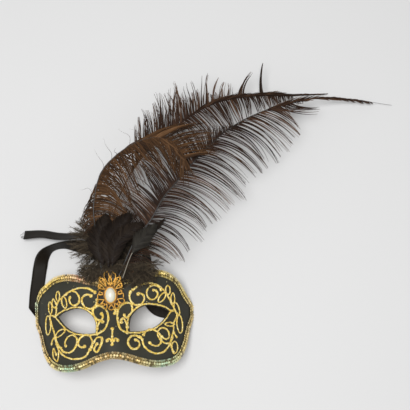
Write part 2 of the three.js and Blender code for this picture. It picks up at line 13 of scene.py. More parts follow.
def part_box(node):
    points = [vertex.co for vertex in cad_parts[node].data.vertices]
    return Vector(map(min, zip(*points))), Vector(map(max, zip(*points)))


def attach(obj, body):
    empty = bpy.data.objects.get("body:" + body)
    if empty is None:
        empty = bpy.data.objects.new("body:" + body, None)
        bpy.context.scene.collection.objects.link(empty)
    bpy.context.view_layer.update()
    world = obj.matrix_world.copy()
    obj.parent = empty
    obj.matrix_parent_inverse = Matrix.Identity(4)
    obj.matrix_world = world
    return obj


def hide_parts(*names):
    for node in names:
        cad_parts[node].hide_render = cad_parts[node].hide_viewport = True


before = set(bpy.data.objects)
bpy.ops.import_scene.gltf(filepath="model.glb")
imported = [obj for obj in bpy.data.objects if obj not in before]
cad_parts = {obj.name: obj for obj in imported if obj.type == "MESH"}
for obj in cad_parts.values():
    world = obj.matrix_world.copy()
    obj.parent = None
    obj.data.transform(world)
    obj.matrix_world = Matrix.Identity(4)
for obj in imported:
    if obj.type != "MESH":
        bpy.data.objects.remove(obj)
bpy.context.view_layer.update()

# The camera looks down on the lying mask through a long lens, from a little left of straight ahead. It aims
# at the middle of the whole spread, so the face lies low on the left and the plumes reach the upper right.
MM = 0.001
FACE_SHIFT = 2.0
SHELL_CREST = 31.49
pearl_low, pearl_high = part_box("pearl")
_, shell_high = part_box("mask_shell")
MIDDLE_OF_FACE = np.array([
    1000 * (pearl_low.x + pearl_high.x) / 2 - FACE_SHIFT,
    1000 * shell_high.y - SHELL_CREST,
    0.0,
])


def to_part(points):
    """Points measured from the middle of the face, in millimetres, as points of the part, in metres."""
    return (np.asarray(points, float) + MIDDLE_OF_FACE) * MM


def in_scene(name, data):
    """A new object, put in the scene."""
    made = bpy.data.objects.new(name, data)
    bpy.context.scene.collection.objects.link(made)
    return made


AIM = (103.05, 108.0, 0.0)
CAMERA_DISTANCE = 1.065
FOCAL_LENGTH = 85
FILM_WIDTH = 36
CAMERA_AZIMUTH = math.radians(-3)
CAMERA_ELEVATION = math.radians(78)
backwards = Vector((
    math.sin(CAMERA_AZIMUTH) * math.cos(CAMERA_ELEVATION),
    -math.cos(CAMERA_AZIMUTH) * math.cos(CAMERA_ELEVATION),
    math.sin(CAMERA_ELEVATION),
))
lens = bpy.data.cameras.new("lens")
lens.lens = FOCAL_LENGTH
lens.sensor_width = FILM_WIDTH
camera = in_scene("camera", lens)
camera.location = Vector(to_part(AIM)) + backwards * CAMERA_DISTANCE
camera.rotation_euler = backwards.to_track_quat("Z", "Y").to_euler()
bpy.context.scene.camera = camera

# The shell is one moulded half mask about 2 mm thick, matt olive black with a few stray specks of gold
# glitter. Its inside is painted pale cream, a lining that bounces light back onto the shaded floor under the
# mask, where it shows through the eyes. Its face is bent round the wearer's head, with a nose, brows and
# cheeks pressed into it and the eyes cut out. It lies on its temples, and the left one leaves room for a tie.
FACE_RADIUS = 88.0
TEMPLE_TURN = math.radians(70)
WALL = 2.0
TEMPLE_REACH = FACE_RADIUS * TEMPLE_TURN
LEFT_END = -TEMPLE_REACH - FACE_SHIFT
RIGHT_END = TEMPLE_REACH - FACE_SHIFT
UPPER_RIM = [
    (LEFT_END, 9), (-100, 16.5), (-90, 21.5), (-81, 24.3), (-64, 30.2), (-48, 31.3), (-34, 29), (-22, 25),
    (0, 21), (22, 26), (41, 30.5), (50, 31.5), (60, 30.3), (71, 26), (81, 18.3), (91, 8), (RIGHT_END, -1),
]
LOWER_RIM = [
    (LEFT_END, -17), (-101, -22), (-94, -32), (-89, -42), (-81, -52.3), (-70, -61.2), (-55, -66.4),
    (-41, -66.9), (-29, -65), (-17, -61.2), (-7, -58.6), (1, -57.6), (12, -59.6), (26, -63.8), (41, -66.8),
    (54, -66.1), (66, -63.2), (76, -57), (87, -43.5), (95, -28.5), (RIGHT_END, -15),
]
LOWEST_TO_HIGHEST = (-68, 33)
UPPER_LID = [
    (66, -10), (59, -6.6), (49, -4.2), (39, -3.3), (31, -4.9), (24, -9.3), (18.6, -15.6), (15.6, -27.4),
    (16.4, -31.6),
]
LOWER_LID = [
    (16.4, -31.6), (26.8, -31.4), (37, -29.9), (45.5, -27.2), (53.6, -22.7), (59.6, -17.5), (66, -10),
]
EYE_MIDDLE = np.array([41, -17.5])
EYE_SHIFT = 0.6
EYE_HOLE_SCALE = 0.97
EYE_RIM_SCALE = 1.05
# The nose: where it starts and how long it is, and its height and spread at its root and at its tip
NOSE_START = 8
NOSE_LENGTH = 56
NOSE_ROOT = (1.5, 7.5)
NOSE_TIP = (15.0, 12.5)
# What else is pressed in on both sides: how high, its middle (out, up) and its spread (out, up)
BROW = (3, (42, 14), (24, 10))
CHEEK = (4, (42, -50), (20, 11))
SOCKET = (-4.5, (40, -17), (19, 11))
FLOOR_GAP = 0.1
TIE_GAP = 2.0
TIE_PASSAGE = (-11, 40)
SHELL_GRAIN = 1.7
EDGE_ROUNDING = 0.45
SPECK_CELLS = 620.0
SPECK_SHARE = 0.018
SPECK_SIZE = 0.26


def height_at(knots, u):
    """The height of a smooth curve through knots (u, height), at each u."""
    x, y = np.array(knots, float).T
    slopes = np.gradient(y, x)
    slopes[1:-1] = (y[2:] - y[:-2]) / (x[2:] - x[:-2])
    i = np.clip(np.searchsorted(x, u) - 1, 0, len(x) - 2)
    span = x[i + 1] - x[i]
    t = (u - x[i]) / span
    rise = t * t * (3 - 2 * t)
    bend = span * (slopes[i] * t * (1 - t) ** 2 + slopes[i + 1] * t * t * (t - 1))
    return y[i] * (1 - rise) + y[i + 1] * rise + bend


def run_of(line):
    """How far along a line each of its points lies."""
    return np.concatenate([[0], np.cumsum(np.linalg.norm(np.diff(line, axis=0), axis=1))])


def points_at(places, run, line):
    """The points of a line at some places along it, where run says how far along its own points lie."""
    return np.column_stack([np.interp(places, run, axis) for axis in line.T])


def unit(ways):
    """Directions, each made one unit long."""
    return ways / np.linalg.norm(ways, axis=1)[:, None]


def heading(line, closed):
    """Which way a line runs at each of its points."""
    return unit(np.roll(line, -1, axis=0) - np.roll(line, 1, axis=0) if closed else np.gradient(line, axis=0))


def smooth_line(knots, steps, closed=False):
    """Points at even lengths of a smooth curve through the knots."""
    p = np.array(knots, float)
    ring = np.vstack([p[-1], p, p[:2]] if closed else [2 * p[0] - p[1], p, 2 * p[-1] - p[-2]])
    t = np.linspace(0, 1, 17)[:-1, None]
    runs = []
    for a, b, c, d in zip(ring, ring[1:], ring[2:], ring[3:]):
        ab, bc, cd = (math.sqrt(np.linalg.norm(q)) for q in (b - a, c - b, d - c))
        leaving = bc * ((b - a) / ab - (c - a) / (ab + bc)) + (c - b)
        arriving = (c - b) - bc * (d - b) / (bc + cd) + bc * (d - c) / cd
        runs.append(
            b * (1 + 2 * t) * (1 - t) ** 2 + leaving * t * (1 - t) ** 2
            + c * t * t * (3 - 2 * t) + arriving * t * t * (t - 1)
        )
    line = np.vstack(runs + [ring[-2]])
    run = run_of(line)
    even_line = points_at(np.linspace(0, run[-1], steps + 1), run, line)
    return even_line[:-1] if closed else even_line


def hump(distance, spread):
    """A smooth hump: 1 in its middle, and less the further from it."""
    return np.exp(-0.5 * (distance / spread) ** 2)


def relief(u, y):
    """How far the modelled face stands out from its plain bend."""
    t = np.clip((NOSE_START - y) / NOSE_LENGTH, 0, 1)
    down = t * t * (3 - 2 * t)
    nose_height, nose_spread = (root + (tip - root) * down for root, tip in zip(NOSE_ROOT, NOSE_TIP))
    swell = nose_height * hump(u, nose_spread)
    for height, (out, up), (spread_out, spread_up) in (BROW, CHEEK, SOCKET):
        swell = swell + height * hump(np.abs(u) - out, spread_out) * hump(y - up, spread_up)
    return swell


def face_point(u, y, lift=0.0):
    """A point on the face: u runs round it from the nose, y up it, and lift is how far over its outside."""
    turn = (u + FACE_SHIFT) / FACE_RADIUS
    reach = FACE_RADIUS + relief(u, y) + lift
    height = reach * np.cos(turn) - FACE_RADIUS * math.cos(TEMPLE_TURN)
    over_tie = (turn < 0) & (y > TIE_PASSAGE[0]) & (y < TIE_PASSAGE[1])
    lowest = np.where(over_tie, TIE_GAP, FLOOR_GAP)
    return np.stack([reach * np.sin(turn), y, np.maximum(height, lowest)], -1)


def eye_outline(scale, steps=56):
    """The closed outline of an eye, as distances out from the nose and heights."""
    lids = np.vstack([smooth_line(UPPER_LID, steps // 2)[:-1], smooth_line(LOWER_LID, steps // 2)[:-1]])
    return EYE_MIDDLE + (lids - EYE_MIDDLE) * scale


def rim_outline(steps=150, end_steps=14):
    """The closed outline of the shell, clockwise from its upper left corner."""
    across = np.linspace(LEFT_END, RIGHT_END, steps)
    upper = np.column_stack([across, height_at(UPPER_RIM, across)])
    lower = np.column_stack([across, height_at(LOWER_RIM, across)])[::-1]
    right = np.linspace(upper[-1], lower[0], end_steps + 1)[1:-1]
    left = np.linspace(lower[-1], upper[0], end_steps + 1)[1:-1]
    return np.vstack([upper, right, lower, left])


def inside(outline, points):
    """Which flat points lie inside a closed outline."""
    x, y = points[:, :1], points[:, 1:]
    ax, ay = outline.T
    bx, by = np.roll(outline, -1, axis=0).T
    crosses = (ay > y) != (by > y)
    rise = np.where(by == ay, 1, by - ay)
    return (crosses & (x < ax + (y - ay) * (bx - ax) / rise)).sum(1) % 2 == 1


def outward_mesh(name, points, faces):
    """A mesh with its faces turned outwards."""
    mesh = bpy.data.meshes.new(name)
    mesh.from_pydata(points, [], faces)
    shape = bmesh.new()
    shape.from_mesh(mesh)
    bmesh.ops.recalc_face_normals(shape, faces=shape.faces)
    shape.to_mesh(mesh)
    shape.free()
    return mesh


def new_piece(name, points, faces, smooth=True):
    """A mesh object in the scene, from points in millimetres."""
    mesh = outward_mesh(name, to_part(points), faces)
    mesh.polygons.foreach_set("use_smooth", np.full(len(mesh.polygons), smooth))
    return in_scene(name, mesh)


def paint(piece, label, values):
    """Gives the points of a piece a value each or a vector each, or one to them all."""
    values = np.asarray(values, np.float32)
    kind, field = ("FLOAT_VECTOR", "vector") if values.ndim > 1 else ("FLOAT", "value")
    each = np.broadcast_to(values, (len(piece.data.vertices), *values.shape[1:]))
    piece.data.attributes.new(label, kind, "POINT").data.foreach_set(field, each.flatten())
    return piece


def make_shell():
    """The moulded shell: an even net of faces between the rim and the eyes, outside and inside."""
    rim = rim_outline()
    eyes = [eye_outline(EYE_HOLE_SCALE) * (side, 1) + (EYE_SHIFT, 0) for side in (-1, 1)]
    loops = [rim, *eyes]

    def on_shell(points):
        return inside(rim, points) & ~inside(eyes[0], points) & ~inside(eyes[1], points)

    edge = np.vstack(loops)
    across = np.arange(LEFT_END, RIGHT_END, SHELL_GRAIN)
    spots = np.stack(np.meshgrid(across, np.arange(*LOWEST_TO_HIGHEST, SHELL_GRAIN)), -1).reshape(-1, 2)
    nearest = np.array([np.min(np.sum((edge - spot) ** 2, axis=1)) for spot in spots])
    clear = nearest > (0.6 * SHELL_GRAIN) ** 2
    flat = np.vstack([edge, spots[clear & on_shell(spots)]])
    starts = np.cumsum([0] + [len(loop) for loop in loops])
    bounds = [
        (start + i, start + (i + 1) % len(loop))
        for start, loop in zip(starts, loops) for i in range(len(loop))
    ]
    verts, _, faces, orig, _, _ = delaunay_2d_cdt([Vector(p) for p in flat], bounds, [], 1, 1e-5)
    flat = np.array(verts)
    faces = np.array(faces)
    faces = faces[on_shell(flat[faces].mean(1))]
    place = {source: i for i, sources in enumerate(orig) for source in sources}
    count = len(flat)
    points = [face_point(*flat.T), face_point(*flat.T, -WALL)]
    skin = [list(f) for f in faces] + [[count + i for i in f[::-1]] for f in faces]
    used = 2 * count
    for start, loop in zip(starts, loops):
        ring = [place[start + i] for i in range(len(loop))]
        ahead = heading(loop, True)
        out = np.column_stack([-ahead[:, 1], ahead[:, 0]])
        out *= EDGE_ROUNDING * (1 if inside(loop, loop[:1] + 0.1 * out[:1])[0] == (start > 0) else -1)
        points.append(face_point(*(loop + out).T, -0.5 * WALL))
        for i in range(len(loop)):
            j = (i + 1) % len(loop)
            skin.append([ring[i], ring[j], used + j, used + i])
            skin.append([used + i, used + j, count + ring[j], count + ring[i]])
        used += len(loop)
    inner = np.zeros(used)
    inner[count:2 * count] = 1
    return paint(new_piece("shell", np.vstack(points), skin), "inner", inner)


class Wire:
    """A value in a node tree. Arithmetic on it adds Math nodes, and node() adds any other node."""

    def __init__(self, tree, socket=None):
        self.tree = tree
        self.socket = socket

    def node(self, kind, settings, sockets, out=0):
        made = self.tree.nodes.new(kind)
        for name, value in settings.items():
            if name == "stops":
                elements = made.color_ramp.elements
                while len(elements) < len(value):
                    elements.new(0.5)
                for element, (stop, colour) in zip(elements, value):
                    element.position = stop
                    element.color = (*colour, 1)
            else:
                setattr(made, name, value)
        for name, value in sockets.items():
            wires = value if isinstance(value, list) else [value]
            for wire in wires:
                if isinstance(wire, Wire):
                    self.tree.links.new(wire.socket, made.inputs[name])
                else:
                    made.inputs[name].default_value = wire
        return Wire(self.tree, made.outputs[out])

    def also(self, out):
        """Another output of the same node."""
        return Wire(self.tree, self.socket.node.outputs[out])

    def math(self, operation, *values):
        return self.node("ShaderNodeMath", {"operation": operation}, dict(enumerate(values)))

    def __add__(self, other):
        return self.math("ADD", self, other)

    def __mul__(self, other):
        return self.math("MULTIPLY", self, other)

    def __sub__(self, other):
        return self.math("SUBTRACT", self, other)

    def __rsub__(self, other):
        return self.math("SUBTRACT", other, self)

    def __gt__(self, other):
        return self.math("GREATER_THAN", self, other)

    __radd__ = __add__
    __rmul__ = __mul__


def blend(share, first, second):
    """A colour between two, by a share that varies."""
    colours = {key: (*c, 1) if isinstance(c, tuple) else c for key, c in ((6, first), (7, second))}
    return share.node("ShaderNodeMix", {"data_type": "RGBA"}, {0: share, **colours}, out=2)


def noise(place, scale, detail=3.0):
    """A cloudy value that varies from place to place."""
    return place.node("ShaderNodeTexNoise", {}, {"Vector": place, "Scale": scale, "Detail": detail})


def bump(height, distance):
    """A surface that a height roughens, by a distance in metres."""
    return height.node("ShaderNodeBump", {}, {"Height": height, "Distance": distance})


def painted(place, label, out="Fac"):
    """What the points of a piece were given under a label."""
    return place.node("ShaderNodeAttribute", {"attribute_name": label}, {}, out)


def finish(name, fixed, varying):
    """A material with fixed values on its shader, and varying ones worked out from a place on the piece."""
    material = bpy.data.materials.new(name)
    material.use_nodes = True
    tree = material.node_tree
    shader = tree.nodes["Principled BSDF"]
    for socket, value in fixed.items():
        shader.inputs[socket].default_value = value
    place = Wire(tree).node("ShaderNodeTexCoord", {}, {}, out="Object")
    for socket, value in varying(place).items():
        tree.links.new(value.socket, shader.inputs[socket])
    return material


def matt_black(place):
    cell = place.node("ShaderNodeTexVoronoi", {}, {"Vector": place, "Scale": SPECK_CELLS})
    chance = cell.node("ShaderNodeSeparateColor", {}, {0: cell.also("Color")})
    speck = (chance > 1 - SPECK_SHARE) * (1 - (cell > SPECK_SIZE))
    body = blend(noise(place, 34.0), (0.020, 0.020, 0.013), (0.040, 0.039, 0.027))
    # The inside is painted pale cream, a lining that bounces light back onto the shaded floor under the mask
    bounce_lining = blend(noise(place, 45.0), (0.66, 0.60, 0.52), (0.74, 0.69, 0.61))
    return {
        "Base Color": blend(painted(place, "inner") > 0.75, blend(speck, body, (0.75, 0.66, 0.3)), bounce_lining),
        "Roughness": 0.62 + 0.2 * noise(place, 240.0),
        "Normal": bump(noise(place, 900.0) + 0.6 * noise(place, 260.0), 0.00012),
    }


shell = make_shell()
shell.data.materials.append(finish("matt_black", {"Specular IOR Level": 0.35}, matt_black))
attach(shell, "root")
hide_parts("mask_shell")

# The braid is a dark tape with a row of iridescent sequins sewn down its middle and gold wire loops along
# both edges. It is glued round the whole rim, and its outer loops hang over the edge by about a millimetre.
BRAID_INSET = 2.7
BRAID_LIFT = 0.5
TAPE_WIDTH = 4.2
TAPE_THICKNESS = 0.7
TAPE_SHADE = 0.16
# The tape's section, across and up, in shares of its width and thickness
TAPE_SECTION = [(-0.5, 0.0), (-0.42, 0.9), (0, 1.0), (0.42, 0.9), (0.5, 0.0)]
SEQUIN_PITCH = 2.9
SEQUIN_SIDES = 6
# A sequin's rings from inside to underneath: reach and rise, in shares of its radius
SEQUIN_RINGS = [(0.42, 0.0), (1.0, 0.30), (1.0, 0.22), (0.45, -0.12)]
LOOP_PITCH = 2.7
LOOP_OUT = 2.65
LOOP_GIRTH = 0.34
LOOP_SIDES = 5
LOOP_TURNS = 9
# How high the middle of a sequin or loop stays over the floor, in shares of its size
TRIM_CLEARANCE = 1.4
GOLD_TINT = (1.0, 0.72, 0.15)
# Painted reflections: stretches where the braid is painted in the colour its iridescent sequins reflect
# there:
# middle (u, y), spread and colour
BRAID_PAINTED_REFLECTIONS = [
    ((-46, -66), 12, (0.36, 0.74, 0.56)), ((52, -66), 17, (0.42, 0.80, 0.62)),
    ((-107, 5), 7, (0.40, 0.72, 0.62)), ((33, 28), 7, (0.50, 0.80, 0.50)),
    ((-30, 28), 13, (0.62, 0.26, 0.17)), ((2, -57), 30, (0.55, 0.34, 0.12)),
    ((100, -25), 26, (0.58, 0.42, 0.17)),
    ((-98, -32), 22, (0.72, 0.47, 0.22)), ((78, 22), 16, (0.72, 0.58, 0.20)),
]


def new_tree(name, sizes):
    """An empty geometry tree with a named input for each size, and those inputs as wires."""
    tree = bpy.data.node_groups.new(name, "GeometryNodeTree")
    tree.interface.new_socket("Geometry", in_out="INPUT", socket_type="NodeSocketGeometry")
    for label, kind in sizes.items():
        tree.interface.new_socket(label, in_out="INPUT", socket_type="NodeSocket" + kind)
    tree.interface.new_socket("Geometry", in_out="OUTPUT", socket_type="NodeSocketGeometry")
    given = tree.nodes.new("NodeGroupInput")
    return {socket.name: Wire(tree, socket) for socket in given.outputs if socket.name}


def end_tree(result, material):
    """Makes what a tree has set out real, gives it its material and hands out the finished tree."""
    real = result.node("GeometryNodeRealizeInstances", {}, {0: result})
    dressed = real.node("GeometryNodeSetMaterial", {}, {0: real, "Material": material})
    last = result.tree.nodes.new("NodeGroupOutput")
    result.tree.links.new(dressed.socket, last.inputs[0])
    return result.tree


def grow(guide, tree, sizes):
    """Runs a tree on a guide object and leaves the result in it as a plain mesh."""
    modifier = guide.modifiers.new("grow", "NODES")
    modifier.node_group = tree
    for item in tree.interface.items_tree:
        if item.in_out == "INPUT" and item.name in sizes:
            modifier[item.identifier] = sizes[item.name]
    evaluated = guide.evaluated_get(bpy.context.evaluated_depsgraph_get())
    mesh = bpy.data.meshes.new_from_object(evaluated)
    guide.modifiers.clear()
    guide.data = mesh
    return guide


def guide_lines(name, lines, values, closed=False):
    """An object of loose edges along lines of points in millimetres, with values named for each point."""
    counts = [len(line) for line in lines]
    starts = np.concatenate([[0], np.cumsum(counts)[:-1]])
    edges = []
    for start, count in zip(starts, counts):
        here = start + np.arange(count if closed else count - 1)
        edges.append(np.column_stack([here, start + (here - start + 1) % count]))
    mesh = bpy.data.meshes.new(name)
    mesh.from_pydata(to_part(np.vstack(lines)), np.vstack(edges), [])
    guide = in_scene(name, mesh)
    for label, data in values.items():
        paint(guide, label, data)
    return guide


def joined(name, parts):
    """Several objects made into one, under one name."""
    with bpy.context.temp_override(active_object=parts[0], selected_editable_objects=parts):
        bpy.ops.object.join()
    parts[0].name = name
    parts[0].data.name = name
    return parts[0]


def set_in(outline, inset):
    """A closed outline moved inwards."""
    ahead = heading(outline, True)
    return outline + inset * np.column_stack([ahead[:, 1], -ahead[:, 0]])


def face_lift(flat, lift):
    """Flat points set on the face, at a height over its outside."""
    return face_point(flat[:, 0], flat[:, 1], lift)


def face_out(flat):
    """The direction straight out of the face at flat points."""
    du = face_lift(flat + (0.5, 0), 0) - face_lift(flat - (0.5, 0), 0)
    dy = face_lift(flat + (0, 0.5), 0) - face_lift(flat - (0, 0.5), 0)
    return unit(np.cross(du, dy))


def skin_faces(rings, count, endless=False, capped=True):
    """The faces of a skin through rings of as many points each, with flat ends unless it runs round."""
    faces = []
    for i in range(rings if endless else rings - 1):
        here, there = i * count, (i + 1) % rings * count
        pairs = [(j, (j + 1) % count) for j in range(count)]
        faces += [(here + j, there + j, there + k, here + k) for j, k in pairs]
    if capped and not endless:
        faces += [tuple(range(count)), tuple(range((rings - 1) * count, rings * count))]
    return faces


def random_value(seed, low, high, vector=False):
    """A random number for each point or instance, or a random vector."""
    kind, first = ("FLOAT_VECTOR", 0) if vector else ("FLOAT", 2)
    return seed.node("FunctionNodeRandomValue", {"data_type": kind}, {
        first: low, first + 1: high, "Seed": seed}, out=0 if vector else 1)


def carried(line, label, kind="FLOAT"):
    """What the points of a guide carry under a label."""
    return line.node("GeometryNodeInputNamedAttribute", {"data_type": kind}, {"Name": label})


def turned(stance, roll):
    """A stance with a turn of its own added to it."""
    return stance.node("FunctionNodeRotateRotation", {"rotation_space": "LOCAL"}, {0: stance, 1: roll})


def set_out(spots, thing, stance, size, chosen=True):
    """A copy of an object at each of the chosen spots."""
    shape = spots.node("GeometryNodeObjectInfo", {}, {"Object": thing}, out="Geometry")
    return spots.node("GeometryNodeInstanceOnPoints", {}, {
        "Points": spots, "Selection": chosen, "Instance": shape, "Rotation": stance, "Scale": size})


def marked(copies, label, value):
    """Copies that each carry a value, for their material."""
    return copies.node("GeometryNodeStoreNamedAttribute", {"data_type": "FLOAT", "domain": "INSTANCE"}, {
        0: copies, "Name": label, "Value": value})


def row_tree():
    """Small trimmings in a row along a line on the face, each tipped a little its own way."""
    given = new_tree("trimming_row", {
        "Pitch": "Float", "Size": "Float", "Tip": "Float", "Seed": "Int", "Trimming": "Object",
        "Material": "Material",
    })
    line = given["Geometry"].node("GeometryNodeMeshToCurve", {}, {0: given["Geometry"]})
    spots = line.node("GeometryNodeResampleCurve", {"mode": "LENGTH"}, {0: line, "Length": given["Pitch"]})
    out = carried(line, "out", "FLOAT_VECTOR")
    along = line.node("GeometryNodeInputTangent", {}, {})
    stance = line.node(
        "FunctionNodeAxesToRotation", {"primary_axis": "Z", "secondary_axis": "X"}, {0: out, 1: along})
    tip = given["Tip"]
    low = tip.node("ShaderNodeCombineXYZ", {}, {0: 0 - tip, 1: 0 - tip, 2: 0 - tip})
    high = tip.node("ShaderNodeCombineXYZ", {}, {0: tip, 1: tip, 2: tip})
    sway = random_value(given["Seed"], low, high, vector=True)
    placed = set_out(spots, given["Trimming"], turned(stance, sway), given["Size"])
    return end_tree(marked(placed, "chance", random_value(given["Seed"], 0.0, 1.0)), given["Material"])


def trimming(name, points, faces):
    """A small shape to be copied, one metre to its unit, kept out of the picture."""
    return bpy.data.objects.new(name, outward_mesh(name, points, faces))


def circle(count):
    """The turns of evenly spaced points once round."""
    return np.linspace(0, 2 * math.pi, count, endpoint=False)


def loop_shape():
    """A small closed ring of wire, lying flat."""
    section = circle(LOOP_SIDES)
    reach = 1 + LOOP_GIRTH * np.cos(section)
    points = [
        (r * math.cos(a), r * math.sin(a), LOOP_GIRTH * math.sin(s))
        for a in circle(LOOP_TURNS) for r, s in zip(reach, section)
    ]
    return trimming("loop", points, skin_faces(LOOP_TURNS, LOOP_SIDES, endless=True))


def sequin_shape():
    """A cupped sequin: a thin faceted dish, open side up, closed underneath."""
    points = [
        (reach * math.cos(a), reach * math.sin(a), rise)
        for reach, rise in SEQUIN_RINGS for a in circle(SEQUIN_SIDES)
    ]
    return trimming("sequin", points, skin_faces(len(SEQUIN_RINGS), SEQUIN_SIDES))


def braid_metal(place):
    chance = painted(place, "chance")
    body = blend(0.55 * chance, painted(place, "tint", "Color"), (1.0, 0.92, 0.56))
    return {
        "Base Color": blend((chance > 0.84) * 0.8, body, (0.10, 0.06, 0.02)),
        "Roughness": 0.24 + 0.25 * chance,
        "Normal": bump(noise(place, 2600.0), 0.0001),
    }


def make_braid():
    """The tape round the rim, with its row of sequins and its two rows of loops."""
    braid_gold = finish("braid_gold", {"Metallic": 0.4}, braid_metal)
    middle = set_in(rim_outline(), BRAID_INSET)
    rings = [
        face_lift(set_in(middle, across * TAPE_WIDTH), BRAID_LIFT + up * TAPE_THICKNESS)
        for across, up in TAPE_SECTION
    ]
    skin = skin_faces(len(middle), len(TAPE_SECTION), endless=True)
    tape = new_piece("tape", np.stack(rings, 1).reshape(-1, 3), skin)
    paint(tape, "tint", [np.array(GOLD_TINT) * TAPE_SHADE])
    tape.data.materials.append(braid_gold)
    tree = row_tree()
    sequin, loop = sequin_shape(), loop_shape()
    rows = [tape]
    # Each row's name, trimming, way out from the middle, height, pitch, size, tip and seed
    for name, part, out, lift, pitch, size, tip, seed in (
        ("sequins", sequin, 0.0, 1.25, SEQUIN_PITCH, 1.45, 0.42, 4),
        ("outer_loops", loop, -LOOP_OUT, 0.75, LOOP_PITCH, 0.92, 0.25, 5),
        ("inner_loops", loop, LOOP_OUT, 0.75, LOOP_PITCH, 0.86, 0.25, 6),
    ):
        flat = set_in(middle, out)
        tints = np.tile(GOLD_TINT, (len(flat), 1))
        # Each stretch of painted reflection tints the row
        for spot, spread, colour in BRAID_PAINTED_REFLECTIONS:
            share = hump(np.linalg.norm(flat - spot, axis=1), spread)[:, None]
            tints = tints * (1 - share) + np.array(colour) * share
        row = face_lift(flat, BRAID_LIFT + lift)
        row[:, 2] = np.maximum(row[:, 2], TRIM_CLEARANCE * size)
        guide = guide_lines(name, [row], {"out": face_out(flat), "tint": tints}, closed=True)
        rows.append(grow(guide, tree, {
            "Pitch": pitch * MM, "Size": size * MM, "Tip": tip, "Seed": seed, "Trimming": part,
            "Material": braid_gold}))
    return joined("rim_trim", rows)


braid = make_braid()
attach(braid, "root")
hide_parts("rim_braid")

# The scrollwork is gold glitter glue, squeezed out in lines about 2 mm wide and dusted with glitter. Each eye
# has its rim, and scrolls, volutes and leaves spread from it. A little fleur and a smear sit on the nose.
LINE_WIDTH = 1.9
LINE_HEIGHT = 0.95
LINE_STEP = 0.85
# A line's section, across and up, in shares of its width and height
LINE_SECTION = [(0.5, -0.12), (0.42, 0.6), (0.0, 1.0), (-0.42, 0.6), (-0.5, -0.12)]
# How far out from the nose the lines get finer, and from what width to what width
FINER_OUT = ((12, 70), (1.12, 0.8))
CLOSED_FINENESS = 0.82
# How much a line strays to the side and how much its width and height change, each over what length
STRAYING = (0.22, 3.0)
WIDTH_CHANGE = (0.3, 1.6)
HEIGHT_CHANGE = (0.25, 1.3)
LEAST_STEPS = 6
END_BLOB = 0.8
BLOB_REACH = 1.1
END_ROUNDING = 0.8
FLAKES = 1.25e6
FLAKE_SIZE = 0.42
# The glue's grain and the loose flakes take random tones from dark brown to near white: their own gold with
# painted sparkle and painted shade
GLUE_SPARKLE_TONES = [
    (0.0, (0.34, 0.18, 0.01)), (0.35, (0.78, 0.50, 0.05)), (0.7, (0.98, 0.75, 0.15)), (1.0, (1.0, 0.96, 0.6)),
]
FLAKE_SPARKLE_TONES = [
    (0.0, (0.40, 0.22, 0.02)), (0.4, (0.86, 0.62, 0.10)), (0.7, (1.0, 0.88, 0.36)), (1.0, (1.0, 0.98, 0.78)),
]


def volute(out, y, first_radius, last_radius, first_angle, sweep):
    """A stroke that winds round a middle, with angles in degrees."""
    turn = np.radians(first_angle + np.linspace(0, sweep, 40))
    radius = np.linspace(first_radius, last_radius, 40)
    return np.column_stack([out + radius * np.cos(turn), y + radius * np.sin(turn)]), False


def leaf(out, y, half_length, half_width, tilt):
    """A closed oval stroke, tilted by some degrees."""
    turn = circle(24)
    along, across = half_length * np.cos(turn), half_width * np.sin(turn)
    c, s = math.cos(math.radians(tilt)), math.sin(math.radians(tilt))
    return np.column_stack([out + along * c - across * s, y + along * s + across * c]), True


def stem(*knots):
    """A stroke through a few points."""
    return smooth_line(knots, 40), False


EYE_RIM = (eye_outline(EYE_RIM_SCALE), True)
LEFT_STROKES = [
    EYE_RIM,
    stem((66.5, -9.8), (62, 3), (50.5, 10.3), (36, 15.6), (24, 15.2), (14.8, 9.7)),
    volute(40.3, 5.3, 9.5, 3.8, 30, 390),
    leaf(51.7, 3.4, 5.8, 3.1, 90),
    volute(23.5, 3, 9.6, 5.2, 173, 330),
    stem((19.7, -5.1), (12.3, -3.2), (4.6, -8.9), (3, -17.5), (7, -28.5), (15.5, -32.6)),
    stem((19.7, -5.1), (20, -9), (16.5, -15.8), (10.9, -18.1), (8.6, -14.4), (11, -10.3)),
    stem((15, -28), (13.9, -23.6), (11.9, -19.9), (9.5, -18.6), (7.7, -21.6)),
    leaf(59.3, 10.6, 5, 2.7, 100),
    stem((63.8, 0), (68.2, 0), (69.9, 4), (67.4, 8.8), (63.8, 5.2), (63, 1.6)),
    leaf(73.7, 0.2, 6.2, 3, 97),
    leaf(79.5, -17.3, 9.8, 4.6, 90),
    stem((66.5, -9.8), (75.5, -7.5), (73.7, -15.5), (71, -22), (67, -31)),
    leaf(60.5, -27.2, 6.6, 3, 155),
    stem((67, -31), (60.6, -39.5), (54.7, -43.8)),
    volute(45.5, -38, 11.4, 5, -32, -383),
    stem((67, -31), (64.6, -36.5), (58.7, -45), (49, -52.6), (37, -55.5), (27, -53.6), (20.6, -46)),
    volute(29, -39.7, 10.6, 3.5, 217, -350),
    stem((18.8, -41.5), (14, -36), (8.7, -36.5), (10.3, -45), (14.3, -50.4), (16.8, -47.5), (13.3, -41)),
    stem((67, -31), (71.5, -34), (72.1, -38.7)),
    stem((64.5, -36.5), (59, -46), (62, -56), (68, -51), (68.5, -42), (62.2, -50)),
]
